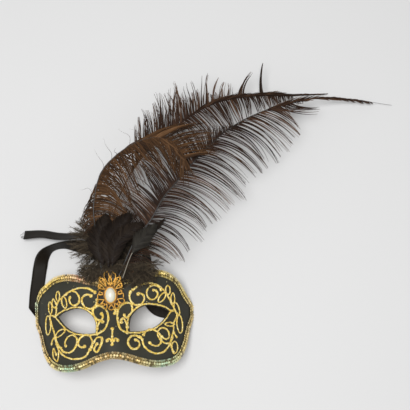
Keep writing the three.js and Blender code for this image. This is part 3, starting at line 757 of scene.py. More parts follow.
RIGHT_STROKES = [
    EYE_RIM,
    stem((20.7, 10.8), (30, 16.4), (40.3, 18.3), (50, 15.5), (60, 7.2), (67.1, -2.2), (76.1, -13.3)),
    stem((66.5, -9.8), (71.5, -8.6)),
    volute(28, 3.5, 10.4, 3, 137, 352),
    volute(43.5, 7.5, 9.6, 3.2, 16, 460),
    leaf(54.2, 3.8, 5.9, 3, 50),
    leaf(61.2, 11.4, 4.8, 3.1, 90),
    leaf(68.6, 3.4, 5.6, 2.8, 95),
    leaf(75, -7, 6.8, 3.3, -60),
    leaf(78.6, -23, 9.4, 4.4, 90),
    stem((76.1, -13.3), (70, -22.7), (68.4, -30.3), (62.2, -41.7), (62.4, -48.4), (66.2, -53.4)),
    leaf(64.5, -23.4, 6, 1.9, 0),
    stem((68.4, -30.3), (70.2, -34.8), (73, -37.4)),
    leaf(67.2, -47.6, 6.4, 4.4, 75),
    volute(55.8, -34.3, 10.4, 3.8, -9, -520),
    volute(42, -39, 11.5, 6, 163, -320),
    stem((29.3, -37.7), (31, -46), (38.8, -52.6), (50, -53), (61.8, -43.2)),
    volute(21.5, -43, 8.9, 3.2, 33, 430),
    stem((29.6, -36.6), (27.2, -37.2), (25.2, -35.4)),
    stem((15.5, -32.6), (9, -29.7), (5.8, -19), (6.8, -7.4), (13, -2), (20.1, -2.4), (21.3, -9),
         (14.5, -16.6), (12, -12.6)),
    stem((15, -28), (14.3, -23.2), (11.8, -17.3), (9, -19.3), (9.4, -23)),
]
FLEUR_STROKES = [
    stem((0.5, -26.5), (0.7, -36), (0.3, -45.5)),
    stem((0.6, -41.5), (-2, -38), (-4.2, -39.2), (-3.2, -41.4)),
    stem((0.6, -41.5), (3.2, -38), (5.4, -39.2), (4.4, -41.4)),
    stem((3.1, -7.2), (4.4, -9.5), (2.9, -11.4), (3.9, -13.6)),
]


def unevenness(luck, change, length, places):
    """A smooth random change along a length, at some places, given how much and over what length."""
    amount, spacing = change
    count = int(length / spacing) + 2
    return amount * np.interp(places, np.linspace(0, length, count), luck.uniform(-1, 1, count))


def glue_line(luck, flat, closed, fineness):
    """The skin of one uneven half-round line of glue along flat points, with a blob at each loose end."""
    if closed:
        flat = np.vstack([flat, flat[:1]])
    run = run_of(flat)
    length = run[-1]
    places = np.linspace(0, length, max(int(length / LINE_STEP), LEAST_STEPS) + 1)
    flat = points_at(places, run, flat)
    from_end = np.minimum(places, length - places)
    if closed:
        flat, places = flat[:-1], places[:-1]
        from_end = np.full(len(flat), length)
    ahead = heading(flat, closed)
    side = np.column_stack([-ahead[:, 1], ahead[:, 0]])
    flat = flat + unevenness(luck, STRAYING, length, places)[:, None] * side
    blob = END_BLOB * hump(from_end - BLOB_REACH, BLOB_REACH)
    width = fineness * LINE_WIDTH * (1 + unevenness(luck, WIDTH_CHANGE, length, places) + blob)
    width *= np.interp(np.abs(flat[:, 0]), *FINER_OUT)
    width *= np.clip(np.sqrt(from_end / END_ROUNDING), 0.35, 1)
    height = LINE_HEIGHT * (1 + unevenness(luck, HEIGHT_CHANGE, length, places))
    rings = [face_lift(flat + side * (across * width)[:, None], up * height) for across, up in LINE_SECTION]
    return np.stack(rings, 1).reshape(-1, 3), skin_faces(len(flat), len(LINE_SECTION), closed)


def piece_of(name, skins):
    """One piece from several skins, each its points and its faces."""
    points, faces, used = [], [], 0
    for skin_points, skin in skins:
        points.append(skin_points)
        faces += [[used + i for i in face] for face in skin]
        used += len(skin_points)
    return new_piece(name, np.vstack(points), faces)


def glue_lines(name, strokes, side, seed, fineness):
    """All the strokes of one piece of scrollwork, mirrored for the left side."""
    luck = np.random.default_rng(seed)
    return piece_of(name, [
        glue_line(luck, flat * (side, 1), closed, fineness * (CLOSED_FINENESS if closed else 1))
        for flat, closed in strokes
    ])


def scatter_tree():
    """Small flakes lying about on a surface, each tipped its own way, together with the surface."""
    given = new_tree("glitter_scatter", {
        "Density": "Float", "Size": "Float", "Seed": "Int", "Flake": "Object", "Material": "Material",
    })
    surface, seed = given["Geometry"], given["Seed"]
    spots = surface.node("GeometryNodeDistributePointsOnFaces", {}, {
        "Mesh": surface, "Density": given["Density"], "Seed": seed})
    tumble = random_value(seed, (-1.0, -1.0, 0.0), (1.0, 1.0, 6.3), vector=True)
    size = given["Size"] * random_value(seed, 0.6, 1.3)
    placed = set_out(spots, given["Flake"], turned(spots.also("Rotation"), tumble), size)
    # Each flake gets a random brightness, a painted sparkle
    sparks = marked(placed, "spark", random_value(seed + 1, 0.1, 1.0))
    both = surface.node("GeometryNodeJoinGeometry", {}, {0: [surface, sparks]})
    return end_tree(both, given["Material"])


def ramp(share, stops):
    """A colour out of a row of stops, by a share that varies."""
    return share.node("ShaderNodeValToRGB", {"stops": stops}, {0: share})


def glitter_gold(place):
    spark = painted(place, "spark")
    grain = place.node("ShaderNodeTexVoronoi", {}, {"Vector": place, "Scale": 1500.0}, out="Color")
    chance = grain.node("ShaderNodeSeparateColor", {}, {0: grain})
    # Random tones from dark to near white: painted sparkle on the glue's grain and on each flake
    return {
        "Base Color": blend(spark > 0.05, ramp(chance, GLUE_SPARKLE_TONES), ramp(spark, FLAKE_SPARKLE_TONES)),
        "Roughness": 0.5 - 0.25 * spark,
        "Normal": bump(noise(place, 1800.0), 0.0002),
    }


def fan(first, count, pole, under=False):
    """The faces between a ring of points, numbered on from its first, and a pole over it or under it."""
    pairs = [(first + j, first + (j + 1) % count) for j in range(count)]
    return [(b, a, pole) if under else (a, b, pole) for a, b in pairs]


flake = trimming("flake", [
    (1, 0, 0), (0.2, 0.9, 0), (-0.9, 0.4, 0), (-0.4, -0.9, 0), (0, 0, 0.2), (0, 0, -0.2),
], fan(0, 4, 4) + fan(0, 4, 5, under=True))
scatter = scatter_tree()
glitter = finish("glitter_gold", {"Metallic": 0.2}, glitter_gold)
for name, node, strokes, side, seed, fineness in (
    ("scrolls_left", "glitter_scrolls_left", LEFT_STROKES, -1, 11, 1),
    ("scrolls_right", "glitter_scrolls_right", RIGHT_STROKES, 1, 12, 1),
    ("fleur", "glitter_fleur", FLEUR_STROKES, 1, 13, 0.75),
):
    lines = grow(glue_lines(name, strokes, side, seed, fineness), scatter, {
        "Density": FLAKES, "Size": FLAKE_SIZE * MM, "Seed": seed, "Flake": flake, "Material": glitter})
    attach(lines, "root")
    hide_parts(node)

# The brooch is an open gilt filigree about 29 by 41 mm: wire loops and curls round a beaded bezel, on a small
# gilt plate painted nearly black as painted shade under the wires, with a crown of loops on top and a point
# below. It leans a little on the bridge of the nose.
BROOCH_CENTRE = (FACE_SHIFT, 10.6, 63.9)
BROOCH_TILT = math.radians(3.5)
PLATE_HALF = (7.4, 10.2)
PLATE_FOOT = 0.1
PLATE_THICKNESS = 0.7
BEZEL_Y = -4.4
BEZEL_HALF = (5.6, 8.1)
BEZEL_HEIGHT = 1.7
BEZEL_RADIUS = 0.7
BEAD_RING_HALF = (6.6, 9.2)
BEAD_HEIGHT = 1.5
BEAD_RADIUS = 0.5
DOT_RADIUS = 0.95
WIRE_HEIGHT = 1.3
WIRE_RADIUS = 0.62
LOOP_FULLNESS = 0.62


def on_brow(points):
    """Points of the brooch, flat and face up about its own middle, set at their place on the brow."""
    x, y, z = np.asarray(points, float).T
    c, s = math.cos(BROOCH_TILT), math.sin(BROOCH_TILT)
    return np.column_stack([x, y * c - z * s, y * s + z * c]) + BROOCH_CENTRE


def tubes(name, lines, radii, sides=6, closed=False):
    """Round wires along lines of points, with a radius for each line or for each of its points."""
    turn = circle(sides)[:, None, None]
    skins = []
    for line, radius in zip(lines, radii):
        ahead = heading(line, closed)
        over = np.where(np.abs(ahead[:, 2:]) > 0.95, (1.0, 0, 0), (0, 0, 1.0))
        side = unit(np.cross(ahead, over))
        over = np.cross(side, ahead)
        radius = np.broadcast_to(radius, len(line))[:, None]
        rings = line + radius * (np.cos(turn) * side + np.sin(turn) * over)
        skins.append((rings.transpose(1, 0, 2).reshape(-1, 3), skin_faces(len(line), sides, closed)))
    return piece_of(name, skins)


def dome(levels, count):
    """Rings of points on a round body of half size 1, at levels given in degrees."""
    return np.array([
        (math.cos(a) * math.cos(t), math.cos(a) * math.sin(t), math.sin(a))
        for a in np.radians(levels) for t in circle(count)
    ])


def balls(name, centres, radii):
    """Little beads, each a ball of a few faces."""
    ball = np.vstack([dome([-50, -10, 30, 65], 8), (0, 0, -1), (0, 0, 1)])
    skin = skin_faces(4, 8, capped=False) + fan(0, 8, 32, under=True) + fan(24, 8, 33)
    return piece_of(name, [(centre + radius * ball, skin) for centre, radius in zip(centres, radii)])


def raised(flat):
    """Flat points of the brooch, at the height of its wires."""
    return np.column_stack([flat, np.full(len(flat), WIRE_HEIGHT)])


def wire_curl(x, y, first, last, sweep):
    """A curl of wire that winds in from straight up."""
    flat, _ = volute(x, y, first, last, 90, sweep)
    return raised(flat[::2])


def wire_bow(*knots):
    """A bow of wire through a few points."""
    return raised(smooth_line(knots, 12))


def wire_loop(x, y, tilt, length, width):
    """A closed drop-shaped loop of wire, from its point out along a tilt to the right of straight up."""
    t = circle(20)
    along = 0.5 * length * (1 - np.cos(t))
    widest = 1.3
    across = LOOP_FULLNESS * width * np.sin(t) * (1 - np.cos(t)) / widest
    c, s = math.cos(math.radians(tilt)), math.sin(math.radians(tilt))
    return raised(np.column_stack([x + along * s + across * c, y + along * c - across * s]))


def oval(half_width, half_height, z, count):
    """A closed oval about the bezel's middle."""
    t = circle(count)
    return np.column_stack([half_width * np.sin(t), BEZEL_Y + half_height * np.cos(t), np.full(count, z)])


def gilt_metal(place):
    wear = noise(place, 420.0)
    bright = blend(wear, (0.25, 0.115, 0.018), (0.60, 0.34, 0.07))
    # The plate is the same gilt painted nearly black, painted shade under the wires; the wires keep the lit
    # gilt
    return {
        "Base Color": blend(painted(place, "shine"), (0.035, 0.015, 0.005), bright),
        "Roughness": 0.2 + 0.25 * wear,
    }


def make_brooch():
    """The plate, the wires, the bezel and the beads, as one piece."""
    layers = [oval(*PLATE_HALF, z, 40) for z in (PLATE_FOOT, PLATE_FOOT + PLATE_THICKNESS)]
    plate = new_piece("plate", on_brow(np.vstack(layers)), skin_faces(2, 40), smooth=False)
    loops = [
        wire_loop(-1.0, 5.5, -13, 14, 4.2), wire_loop(1.6, 5.5, 12, 12.5, 4), wire_loop(0.2, 5, 0, 9, 2.2),
        wire_loop(0.4, -13.6, 180, 5.6, 4.2),
    ]
    curls = []
    dots = [(-2.6, 19.8, 1.3), (3.4, 18.6, 1.3), (0.4, 14.6, 1.4), (0.6, -19.4, 1.2)]
    for side in (-1, 1):
        loops += [
            wire_loop(side * 3.6, 4.4, side * 34, 10.2, 3.6), wire_loop(side * 5.2, 1.6, side * 58, 8, 3.2),
            wire_loop(side * 6.2, -8.6, side * 112, 8, 4), wire_loop(side * 3.8, -12.6, side * 150, 5.6, 3.2),
        ]
        curls += [
            wire_curl(side * 8.8, 12, 2.7, 0.9, -side * 430),
            wire_curl(side * 10.2, 5.6, 2.1, 0.8, -side * 400),
            wire_curl(side * 9.4, -2.2, 2.7, 0.8, -side * 430),
            wire_curl(side * 7.4, -13.4, 2.0, 0.7, -side * 400),
            wire_bow((side * 7.4, -4), (side * 12.6, -3), (side * 13, -7.6)),
            wire_bow((side * 3.6, 6), (side * 6, 8.4), (side * 6.4, 12.4)),
        ]
        dots += [(side * x, y, 1.2) for x, y in ((5.6, 16.2), (11, 8.8), (12, 1.8), (12.6, -8.6))]
    ring = oval(*BEAD_RING_HALF, BEAD_HEIGHT, 34)
    bead_radii = [BEAD_RADIUS] * len(ring) + [DOT_RADIUS] * len(dots)
    bright = [
        tubes("loops", [on_brow(line) for line in loops], [WIRE_RADIUS] * len(loops), closed=True),
        tubes("curls", [on_brow(line) for line in curls], [WIRE_RADIUS] * len(curls)),
        tubes("bezel", [on_brow(oval(*BEZEL_HALF, BEZEL_HEIGHT, 32))], [BEZEL_RADIUS], 8, closed=True),
        balls("beads", on_brow(np.vstack([ring, dots])), bead_radii),
    ]
    # The plate is marked for painted shade, the wires for the lit gilt
    made = joined("filigree", [paint(plate, "shine", 0.0)] + [paint(part, "shine", 1.0) for part in bright])
    made.data.materials.append(finish("gilt_metal", {"Metallic": 0.85}, gilt_metal))
    return made


brooch = make_brooch()
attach(brooch, "root")
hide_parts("brooch")

# The pearl is an oval cabochon about 10 by 15 mm, glossy and white, with a faint play of cream and green.
PEARL_HALF = (5.2, 7.6)
PEARL_HEIGHT = 4.6
PEARL_FOOT = 1.5
PEARL_RINGS = 10
PEARL_SIDES = 32


def cloudy(name, fixed, scale, first, second, detail=3.0):
    """A material that drifts between two colours from place to place."""

    def drift(place):
        return {"Base Color": blend(noise(place, scale, detail), first, second)}

    return finish(name, fixed, drift)


def make_pearl():
    """A dome on a flat oval foot."""
    bulge = dome(np.linspace(0, 90, PEARL_RINGS + 1)[:-1], PEARL_SIDES) * (*PEARL_HALF, PEARL_HEIGHT)
    points = np.vstack([bulge, (0, 0, PEARL_HEIGHT)]) + (0, BEZEL_Y, PEARL_FOOT)
    top = fan((PEARL_RINGS - 1) * PEARL_SIDES, PEARL_SIDES, PEARL_RINGS * PEARL_SIDES)
    skin = skin_faces(PEARL_RINGS, PEARL_SIDES, capped=False) + [tuple(range(PEARL_SIDES))] + top
    return new_piece("cabochon", on_brow(points), skin)


pearl = make_pearl()
pearl.data.materials.append(cloudy("pearl_white", {
    "Roughness": 0.3, "Coat Weight": 0.5, "Coat Roughness": 0.1, "Subsurface Weight": 0.1,
    "Subsurface Scale": 0.002}, 150.0, (0.76, 0.69, 0.57), (0.64, 0.68, 0.58), 1.0))
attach(pearl, "root")
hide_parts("pearl")

# The fan is three ostrich plumes, each with a tapering quill and loose barbs on both sides. The barbs run
# forward, bend down at their ends and stick together in clumps, and each is furred with fine barbules. The
# long front plume and the one behind it are black brown, and the curled one on the left is a warmer brown.
SPINE_STEPS = 240
PLUME_STEPS = 90
BARB_POINTS = 11
BARB_RADIUS = 0.72
BARBULE_STEP = 1.9
BARBULE_LENGTH = 1.8
BARBULE_SPREAD = math.radians(22)
BARBULE_PALER = 0.3
FLOOR_CLEARANCE = 0.5
# What a vane has unless its plan says otherwise: its shortest barb, how wild it is, how uneven from clump to
# clump, how far its barbs rise and sink, how far they curl, and how thick and how furred they are
PLAIN_VANE = dict(least=2.5, stray=1.0, ragged=0.0, loft=2.0, curl=0.0, girth=1.0, fuzz=0.6)


def spread_out(luck, count, smallest, largest):
    """Numbers a row of things by clumps of uneven size, and gives each clump's first."""
    sizes = luck.integers(smallest, largest + 1, count)
    first = np.concatenate([[0], np.cumsum(sizes)])
    first = first[first < count]
    return np.repeat(np.arange(len(first)), np.diff(np.append(first, count))), first


def gather(luck, lines, smallest, largest, hold, late):
    """Draws neighbouring lines together towards their ends, clump by clump."""
    clump, first = spread_out(luck, len(lines), smallest, largest)
    sizes = np.diff(np.append(first, len(lines)))
    middle = np.add.reduceat(lines, first, axis=0) / sizes[:, None, None]
    along = np.linspace(0, 1, lines.shape[1])
    share = (hold * luck.uniform(0.35, 1, len(first)))[clump][:, None] * along ** late
    return lines + (middle[clump] - lines) * share[:, :, None]


def vane(quill, plan, seed):
    """Guide lines of the barbs on one side of a quill, with each point's thickness, fur and lightness."""
    plan = {**PLAIN_VANE, **plan}
    luck = np.random.default_rng(seed)
    stray = plan["stray"]

    # Where each barb stands on the quill, s, and where each of its points lies along it, v
    spine = smooth_line(quill, SPINE_STEPS)
    run = np.linspace(0, 1, SPINE_STEPS + 1)
    count = int(run_of(spine)[-1] / plan["pitch"])
    s = np.clip((np.arange(count) + 0.5 + luck.uniform(-0.5, 0.5, count)) / count, 0.004, 0.996)
    s = s[height_at(plan["reach"], s) > plan["least"]]
    count = len(s)
    v = np.linspace(0, 1, BARB_POINTS)
    ahead = points_at(s + 0.004, run, spine) - points_at(s - 0.004, run, spine)
    ahead[:, 2] = 0
    ahead = unit(ahead)
    across = plan["side"] * np.column_stack([ahead[:, 1], -ahead[:, 0], np.zeros(count)])

    # How long each barb is and which way it runs, with neighbours swung together
    reach = height_at(plan["reach"], s) * (1 + 0.11 * stray * luck.standard_normal(count)).clip(0.35, 1.25)
    leave, arrive = (np.interp(s, *np.array(plan["turn"])[:, (0, i)].T)[:, None] for i in (1, 2))
    wild = stray * luck.standard_normal((2, count, 1))
    tilt = leave + (arrive - leave) * v ** 0.8 + 3 * wild[0] + 7 * wild[1] * v
    clump, first = spread_out(luck, count, 6, 16)
    swing = luck.standard_normal((2, len(first)))[:, clump, None]
    tilt = tilt + stray * (2.5 * swing[0] + 8 * swing[1] * v ** 2)
    reach = reach * np.exp(plan["ragged"] * swing[0, :, 0]).clip(0.3, 1.5)
    tilt = np.radians(tilt)[:, :, None]
    step = (reach / (BARB_POINTS - 1))[:, None, None]
    moves = step * (np.cos(tilt) * across[:, None, :] + np.sin(tilt) * ahead[:, None, :])
    lines = points_at(s, run, spine)[:, None, :] + np.cumsum(moves, axis=1) - moves[:, :1]

    # How it rises, hangs and curls
    hang = height_at(plan["hang"], s).clip(0) * (1 + 0.1 * stray * luck.standard_normal(count))
    loft = plan["loft"] * luck.uniform(-0.5, 1, count)
    lines[:, :, 2] += loft[:, None] * np.sin(math.pi * v * 0.7) - hang[:, None] * v ** 2.1
    curl = plan["curl"] * luck.uniform(0.4, 1, count)[:, None] * v ** 2.2
    lines += (np.sin(6.0 * v)[None, :] * curl)[:, :, None] * ahead[:, None, :]
    lines[:, :, 2] += np.abs(np.cos(4.0 * v)) * curl * 0.5

    # How it sticks to its neighbours and waves, always clear of the floor
    for smallest, largest, hold, late in plan["clumps"]:
        lines = gather(luck, lines, smallest, largest, hold, late)
    wave = luck.uniform(0, 6.28, (count, 1)) + luck.uniform(3, 7, (count, 1)) * v
    lines += (stray * 0.7 * v * np.sin(wave))[:, :, None] * ahead[:, None, :]
    lines[:, :, 2] = np.maximum(lines[:, :, 2], FLOOR_CLEARANCE + luck.uniform(0, 1.5, (count, 1)))

    clump, _ = spread_out(luck, count, 3, 9)
    tone = 0.6 * luck.random(count) + 0.4 * luck.random(count)[clump]
    girth = plan["girth"] * BARB_RADIUS * luck.uniform(0.6, 1.25, (count, 1)) * (1 - 0.8 * v ** 1.3)
    fuzz = plan["fuzz"] * luck.uniform(0.4, 1.3, (count, 1)) * (0.45 + 0.75 * np.sin(math.pi * v ** 0.8))
    return lines, girth, fuzz, tone[:, None] * (0.7 + 0.3 * v)


def barb_tree():
    """Barbs along guide lines: a tapering shaft on each, furred with pairs of barbules that lie forward."""
    given = new_tree("feather_barbs", {
        "Step": "Float", "Length": "Float", "Seed": "Int", "Barbules": "Object", "Material": "Material",
    })
    line = given["Geometry"].node("GeometryNodeMeshToCurve", {}, {0: given["Geometry"]})
    section = line.node("GeometryNodeCurvePrimitiveCircle", {}, {"Resolution": 3, "Radius": MM})
    shafts = line.node("GeometryNodeCurveToMesh", {}, {
        0: line, "Profile Curve": section, "Scale": carried(line, "girth"), "Fill Caps": True})
    spots = line.node("GeometryNodeResampleCurve", {"mode": "LENGTH"}, {0: line, "Length": given["Step"]})
    along = line.node("GeometryNodeInputTangent", {}, {})
    up = line.node("ShaderNodeCombineXYZ", {}, {2: 1.0})
    stance = line.node(
        "FunctionNodeAxesToRotation", {"primary_axis": "X", "secondary_axis": "Z"}, {0: along, 1: up})
    seed, fuzz = given["Seed"], carried(line, "fuzz")
    roll = random_value(seed, (-0.9, -0.15, -0.15), (0.9, 0.15, 0.15), vector=True)
    size = given["Length"] * random_value(seed, 0.6, 1.25) * fuzz
    fur = set_out(spots, given["Barbules"], turned(stance, roll), size, fuzz > 0.02)
    paler = marked(fur, "light", carried(line, "light") + BARBULE_PALER)
    both = line.node("GeometryNodeJoinGeometry", {}, {0: [shafts, paler]})
    return end_tree(both, given["Material"])


def barbule_pair():
    """Two slender closed spikes, forward and out to each side, one unit long."""
    points, faces = [], []
    for side in (-1, 1):
        tip = (math.cos(BARBULE_SPREAD), side * math.sin(BARBULE_SPREAD), 0.0)
        first = len(points)
        points += [(0, 0, 0.055), (-0.03, -0.06, -0.04), (0.03, 0.06, -0.04), tip]
        faces += [tuple(first + i for i in face) for face in ((0, 1, 2), (0, 1, 3), (1, 2, 3), (2, 0, 3))]
    return trimming("barbule_pair", points, faces)


def feathered(name, vanes, length, seed, material):
    """Barbs with barbules of some length, grown along the guide lines of several vanes."""
    lines = [line for each in vanes for line in each[0]]
    girth, fuzz, light = (np.concatenate([each[i].ravel() for each in vanes]) for i in (1, 2, 3))
    return grow(guide_lines(name, lines, {"girth": girth, "fuzz": fuzz, "light": light}), barbs, {
        "Step": BARBULE_STEP * MM, "Length": length * MM, "Seed": seed, "Barbules": barbules,
        "Material": material})


def with_quill(name, grown, spine, radii, horn):
    """Barbs and the quill that they grow from, made into one feather."""
    shaft = tubes(name + "_quill", [spine], [radii])
    shaft.data.materials.append(horn)
    return joined(name, [grown, shaft])


def feather_brown(name, dark, middle, pale, roughness):
    """Feather in three tones, from a value that each barb carries."""

    def tones(place):
        light = painted(place, "light") + 0.25 * noise(place, 60.0) - 0.12
        return {"Base Color": ramp(light, [(0.0, dark), (0.5, middle), (1.0, pale)])}

    return finish(name, {"Roughness": roughness, "Specular IOR Level": 0.16, "Sheen Weight": 0.02}, tones)


FRONT_QUILL = [
    (8, 20, 63.8), (14, 31, 64.8), (29, 61, 65.6), (46, 81, 67), (59, 102, 68.5), (74, 119, 69),
    (104, 151, 67), (137, 179, 60), (180, 201, 46), (225, 215, 27), (269, 217, 12), (318, 211, 1.8),
]
CURLED_QUILL = [
    (-4, 20, 63.8), (-6, 31, 64.8), (-11, 72, 65.6), (-12, 100, 68), (-3, 131, 74), (18, 151, 80),
    (46, 163, 84), (64, 162, 84), (77, 154, 82), (85, 140, 79),
]
BACK_QUILL = [
    (2, 20, 63.8), (2, 31, 64.6), (4, 66, 62.4), (12, 105, 57), (34, 145, 53), (72, 182, 49), (119, 211, 41),
    (168, 221, 29), (204, 223, 17), (248, 228, 1.8),
]
LOOSE = [(2, 4, 0.85, 0.6), (4, 9, 0.8, 1.4)]
SPIKY = [(2, 4, 0.92, 0.6), (4, 9, 0.97, 0.9)]
# Each vane is a plan: the side of the quill, the pitch of the barbs along it and how they clump (smallest and
# largest number, how firmly and how late). By the share of the way along the quill, turn gives the way that a
# barb leaves and the way it ends, in degrees from straight across to straight ahead, reach gives its length,
# and hang how far its end bends down.
FRONT_VANES = [
    # Left of the quill, dense at the foot
    dict(side=-1, pitch=0.75, clumps=LOOSE,
         turn=[(0, 28, 8), (0.38, 28, 8), (0.46, 50, 40), (1, 60, 60)],
         reach=[(0, 0), (0.1, 0), (0.15, 34), (0.28, 46), (0.36, 42), (0.42, 24), (0.48, 9), (0.53, 0),
                (1, 0)],
         hang=[(0, 0), (0.1, 0), (0.3, 4), (0.6, 5), (1, 0)]),
    # Right of the quill: long barbs that hang down over the floor
    dict(side=1, pitch=1.42, clumps=[(2, 4, 0.92, 0.4), (4, 9, 0.85, 1.0)], girth=0.95, fuzz=0.8,
         turn=[(0, 34, -18), (0.1, 40, -8), (0.35, 40, -8), (0.62, 52, 22), (1, 52, 22)],
         reach=[(0, 0), (0.02, 0), (0.06, 36), (0.16, 50), (0.26, 58), (0.45, 58), (0.57, 54),
                (0.63, 38), (0.67, 8), (1, 0)],
         hang=[(0, 0), (0.03, 2), (0.12, 20), (0.5, 27), (0.62, 8), (0.7, 2), (1, 0)]),
    # The thin tip, above the quill
    dict(side=-1, pitch=1.1, clumps=LOOSE, stray=0.6, loft=1.0, girth=0.8,
         turn=[(0, 80, 84), (1, 80, 88)],
         reach=[(0, 0), (0.6, 0), (0.66, 14), (0.74, 12), (0.82, 8), (0.88, 5), (0.93, 3), (0.96, 0), (1, 0)],
         hang=[(0, 0), (1, 0)]),
    # The thin tip, below the quill
    dict(side=1, pitch=1.2, clumps=LOOSE, stray=0.8, loft=1.0, girth=0.8,
         turn=[(0, 76, 82), (0.74, 78, 84), (0.84, 66, 60), (1, 60, 50)],
         reach=[(0, 0), (0.6, 0), (0.66, 17), (0.74, 14), (0.82, 8), (0.92, 6), (0.96, 0), (1, 0)],
         hang=[(0, 0), (1, 0)]),
    # A loose tuft where the hanging barbs end
    dict(side=1, pitch=2.4, clumps=[(2, 4, 0.9, 1.6)],
         turn=[(0, 34, 84), (1, 34, 84)],
         reach=[(0, 0), (0.62, 0), (0.63, 46), (0.67, 40), (0.7, 22), (0.71, 0), (1, 0)],
         hang=[(0, 0), (0.6, 8), (1, 0)]),
]
CURLED_VANES = [
    # The wild tuft at the lower left
    dict(side=-1, pitch=0.7, clumps=[(2, 3, 0.7, 0.6), (3, 6, 0.5, 1.2)], curl=3.5, stray=2.4, fuzz=0.9,
         turn=[(0, 10, -30), (1, 10, -30)],
         reach=[(0, 0), (0.2, 0), (0.25, 16), (0.33, 17), (0.38, 11), (0.44, 4), (0.48, 0), (1, 0)],
         hang=[(0, 0), (0.2, 14), (0.3, 30), (0.38, 30), (0.44, 8), (1, 0)]),
    # Outside the curl, blown backwards
    dict(side=-1, pitch=0.76, clumps=[(2, 3, 0.6, 0.6), (3, 6, 0.4, 1.2)], stray=1.2, loft=2.0,
         turn=[(0, 80, 96), (0.5, 84, 112), (0.65, 84, 126), (0.8, 60, 98), (0.9, 34, 60), (1, 4, 20)],
         reach=[(0, 0), (0.4, 0), (0.47, 9), (0.56, 16), (0.66, 28), (0.76, 38), (0.86, 42), (1, 34)],
         hang=[(0, 0), (0.5, 3), (0.8, 8), (1, 8)]),
    # Inside the curl and down its right side
    dict(side=1, pitch=0.82, clumps=[(2, 4, 0.95, 0.5), (3, 7, 0.8, 0.8), (6, 12, 0.5, 1.5)], stray=1.3,
         turn=[(0, 18, -48), (0.4, 12, -50), (0.6, 6, -26), (0.75, 22, 18), (0.9, 48, 32), (1, 74, 62)],
         reach=[(0, 0), (0.14, 0), (0.24, 30), (0.4, 44), (0.6, 46), (0.8, 36), (1, 28)],
         hang=[(0, 0), (0.3, 6), (0.6, 8), (1, 10)]),
    # A few stray hairs over the left edge
    dict(side=-1, pitch=13.0, clumps=[], stray=5.0, fuzz=0.0, girth=0.4,
         turn=[(0, 60, 0), (1, 60, 0)],
         reach=[(0, 0), (0.3, 0), (0.4, 16), (0.7, 18), (0.8, 0), (1, 0)],
         hang=[(0, 0), (1, 0)]),
    # A thinner layer under the right side
    dict(side=1, pitch=1.1, clumps=[(2, 3, 0.8, 0.6), (3, 8, 0.6, 1.2)], loft=3.0, stray=1.5,
         turn=[(0, 30, 0), (0.5, 20, 0), (0.75, 40, 40), (1, 80, 80)],
         reach=[(0, 0), (0.3, 0), (0.4, 22), (0.8, 24), (1, 22)],
         hang=[(0, 0), (0.3, 3), (0.6, 4), (1, 4)]),
]
BACK_VANES = [
    # The spikes above the quill
    dict(side=-1, pitch=0.8, clumps=SPIKY, stray=1.3, ragged=0.22,
         turn=[(0, 46, 44), (0.42, 48, 44), (0.56, 32, 22), (0.66, 20, 10), (1, 20, 10)],
         reach=[(0, 0), (0.31, 0), (0.35, 36), (0.4, 46), (0.46, 42), (0.52, 30), (0.58, 20), (0.66, 12),
                (0.7, 0), (1, 0)],
         hang=[(0, 0), (0.4, 5), (1, 4)]),
    # Longer, looser spikes among them
    dict(side=-1, pitch=2.4, clumps=[(2, 4, 0.96, 0.5), (3, 5, 0.98, 0.8)], stray=1.6, ragged=0.3,
         turn=[(0, 46, 36), (0.42, 44, 30), (0.56, 30, 10), (0.66, 16, 24), (1, 16, 24)],
         reach=[(0, 0), (0.34, 0), (0.38, 44), (0.48, 38), (0.56, 28), (0.64, 22), (0.69, 16), (0.72, 0),
                (1, 0)],
         hang=[(0, 0), (0.4, 5), (0.75, 4), (1, 0)]),
    # The first tall spike
    dict(side=-1, pitch=0.8, least=14, clumps=[(20, 20, 1.0, 0.7)], stray=0.5,
         turn=[(0, 6, 52), (1, 6, 52)],
         reach=[(0, 0), (0.705, 0), (0.712, 28), (0.727, 32), (0.732, 0), (1, 0)],
         hang=[(0, 0), (1, 0)]),
    # The second tall spike
    dict(side=-1, pitch=0.6, least=14, clumps=[(20, 20, 1.0, 0.7)], stray=0.5,
         turn=[(0, -4, 18), (1, -4, 18)],
         reach=[(0, 0), (0.776, 0), (0.78, 34), (0.79, 38), (0.794, 0), (1, 0)],
         hang=[(0, 0), (1, 0)]),
    # Below the quill
    dict(side=1, pitch=1.1, clumps=LOOSE,
         turn=[(0, 50, 20), (0.45, 30, 12), (0.62, 14, 2), (1, 14, 2)],
         reach=[(0, 0), (0.47, 0), (0.52, 16), (0.57, 34), (0.63, 37), (0.7, 28), (0.78, 18), (0.86, 10),
                (0.9, 0), (1, 0)],
         hang=[(0, 0), (0.5, 3), (1, 0)]),
    # The tip, above the quill
    dict(side=-1, pitch=0.9, clumps=[(3, 8, 0.5, 1.0)], stray=0.3, loft=1.0, fuzz=0.4,
         turn=[(0, 80, 86), (0.6, 83, 90), (1, 85, 92)],
         reach=[(0, 0), (0.5, 0), (0.56, 20), (0.8, 20), (0.9, 10), (1, 2)],
         hang=[(0, 0), (1, 0)]),
    # The tip, below the quill
    dict(side=1, pitch=1.3, clumps=[(3, 8, 0.5, 1.0)], stray=0.3, loft=1.0, fuzz=0.4,
         turn=[(0, 80, 86), (0.6, 84, 94), (1, 86, 96)],
         reach=[(0, 0), (0.5, 0), (0.56, 18), (0.8, 16), (0.9, 8), (1, 2)],
         hang=[(0, 0), (1, 0)]),
]
BLACK_BROWN = feather_brown(
    "black_brown_feather", (0.009, 0.004, 0.002), (0.038, 0.018, 0.010), (0.19, 0.098, 0.052), 0.6)
WARM_BROWN = feather_brown(
    "warm_brown_feather", (0.012, 0.005, 0.002), (0.074, 0.034, 0.012), (0.23, 0.12, 0.055), 0.6)
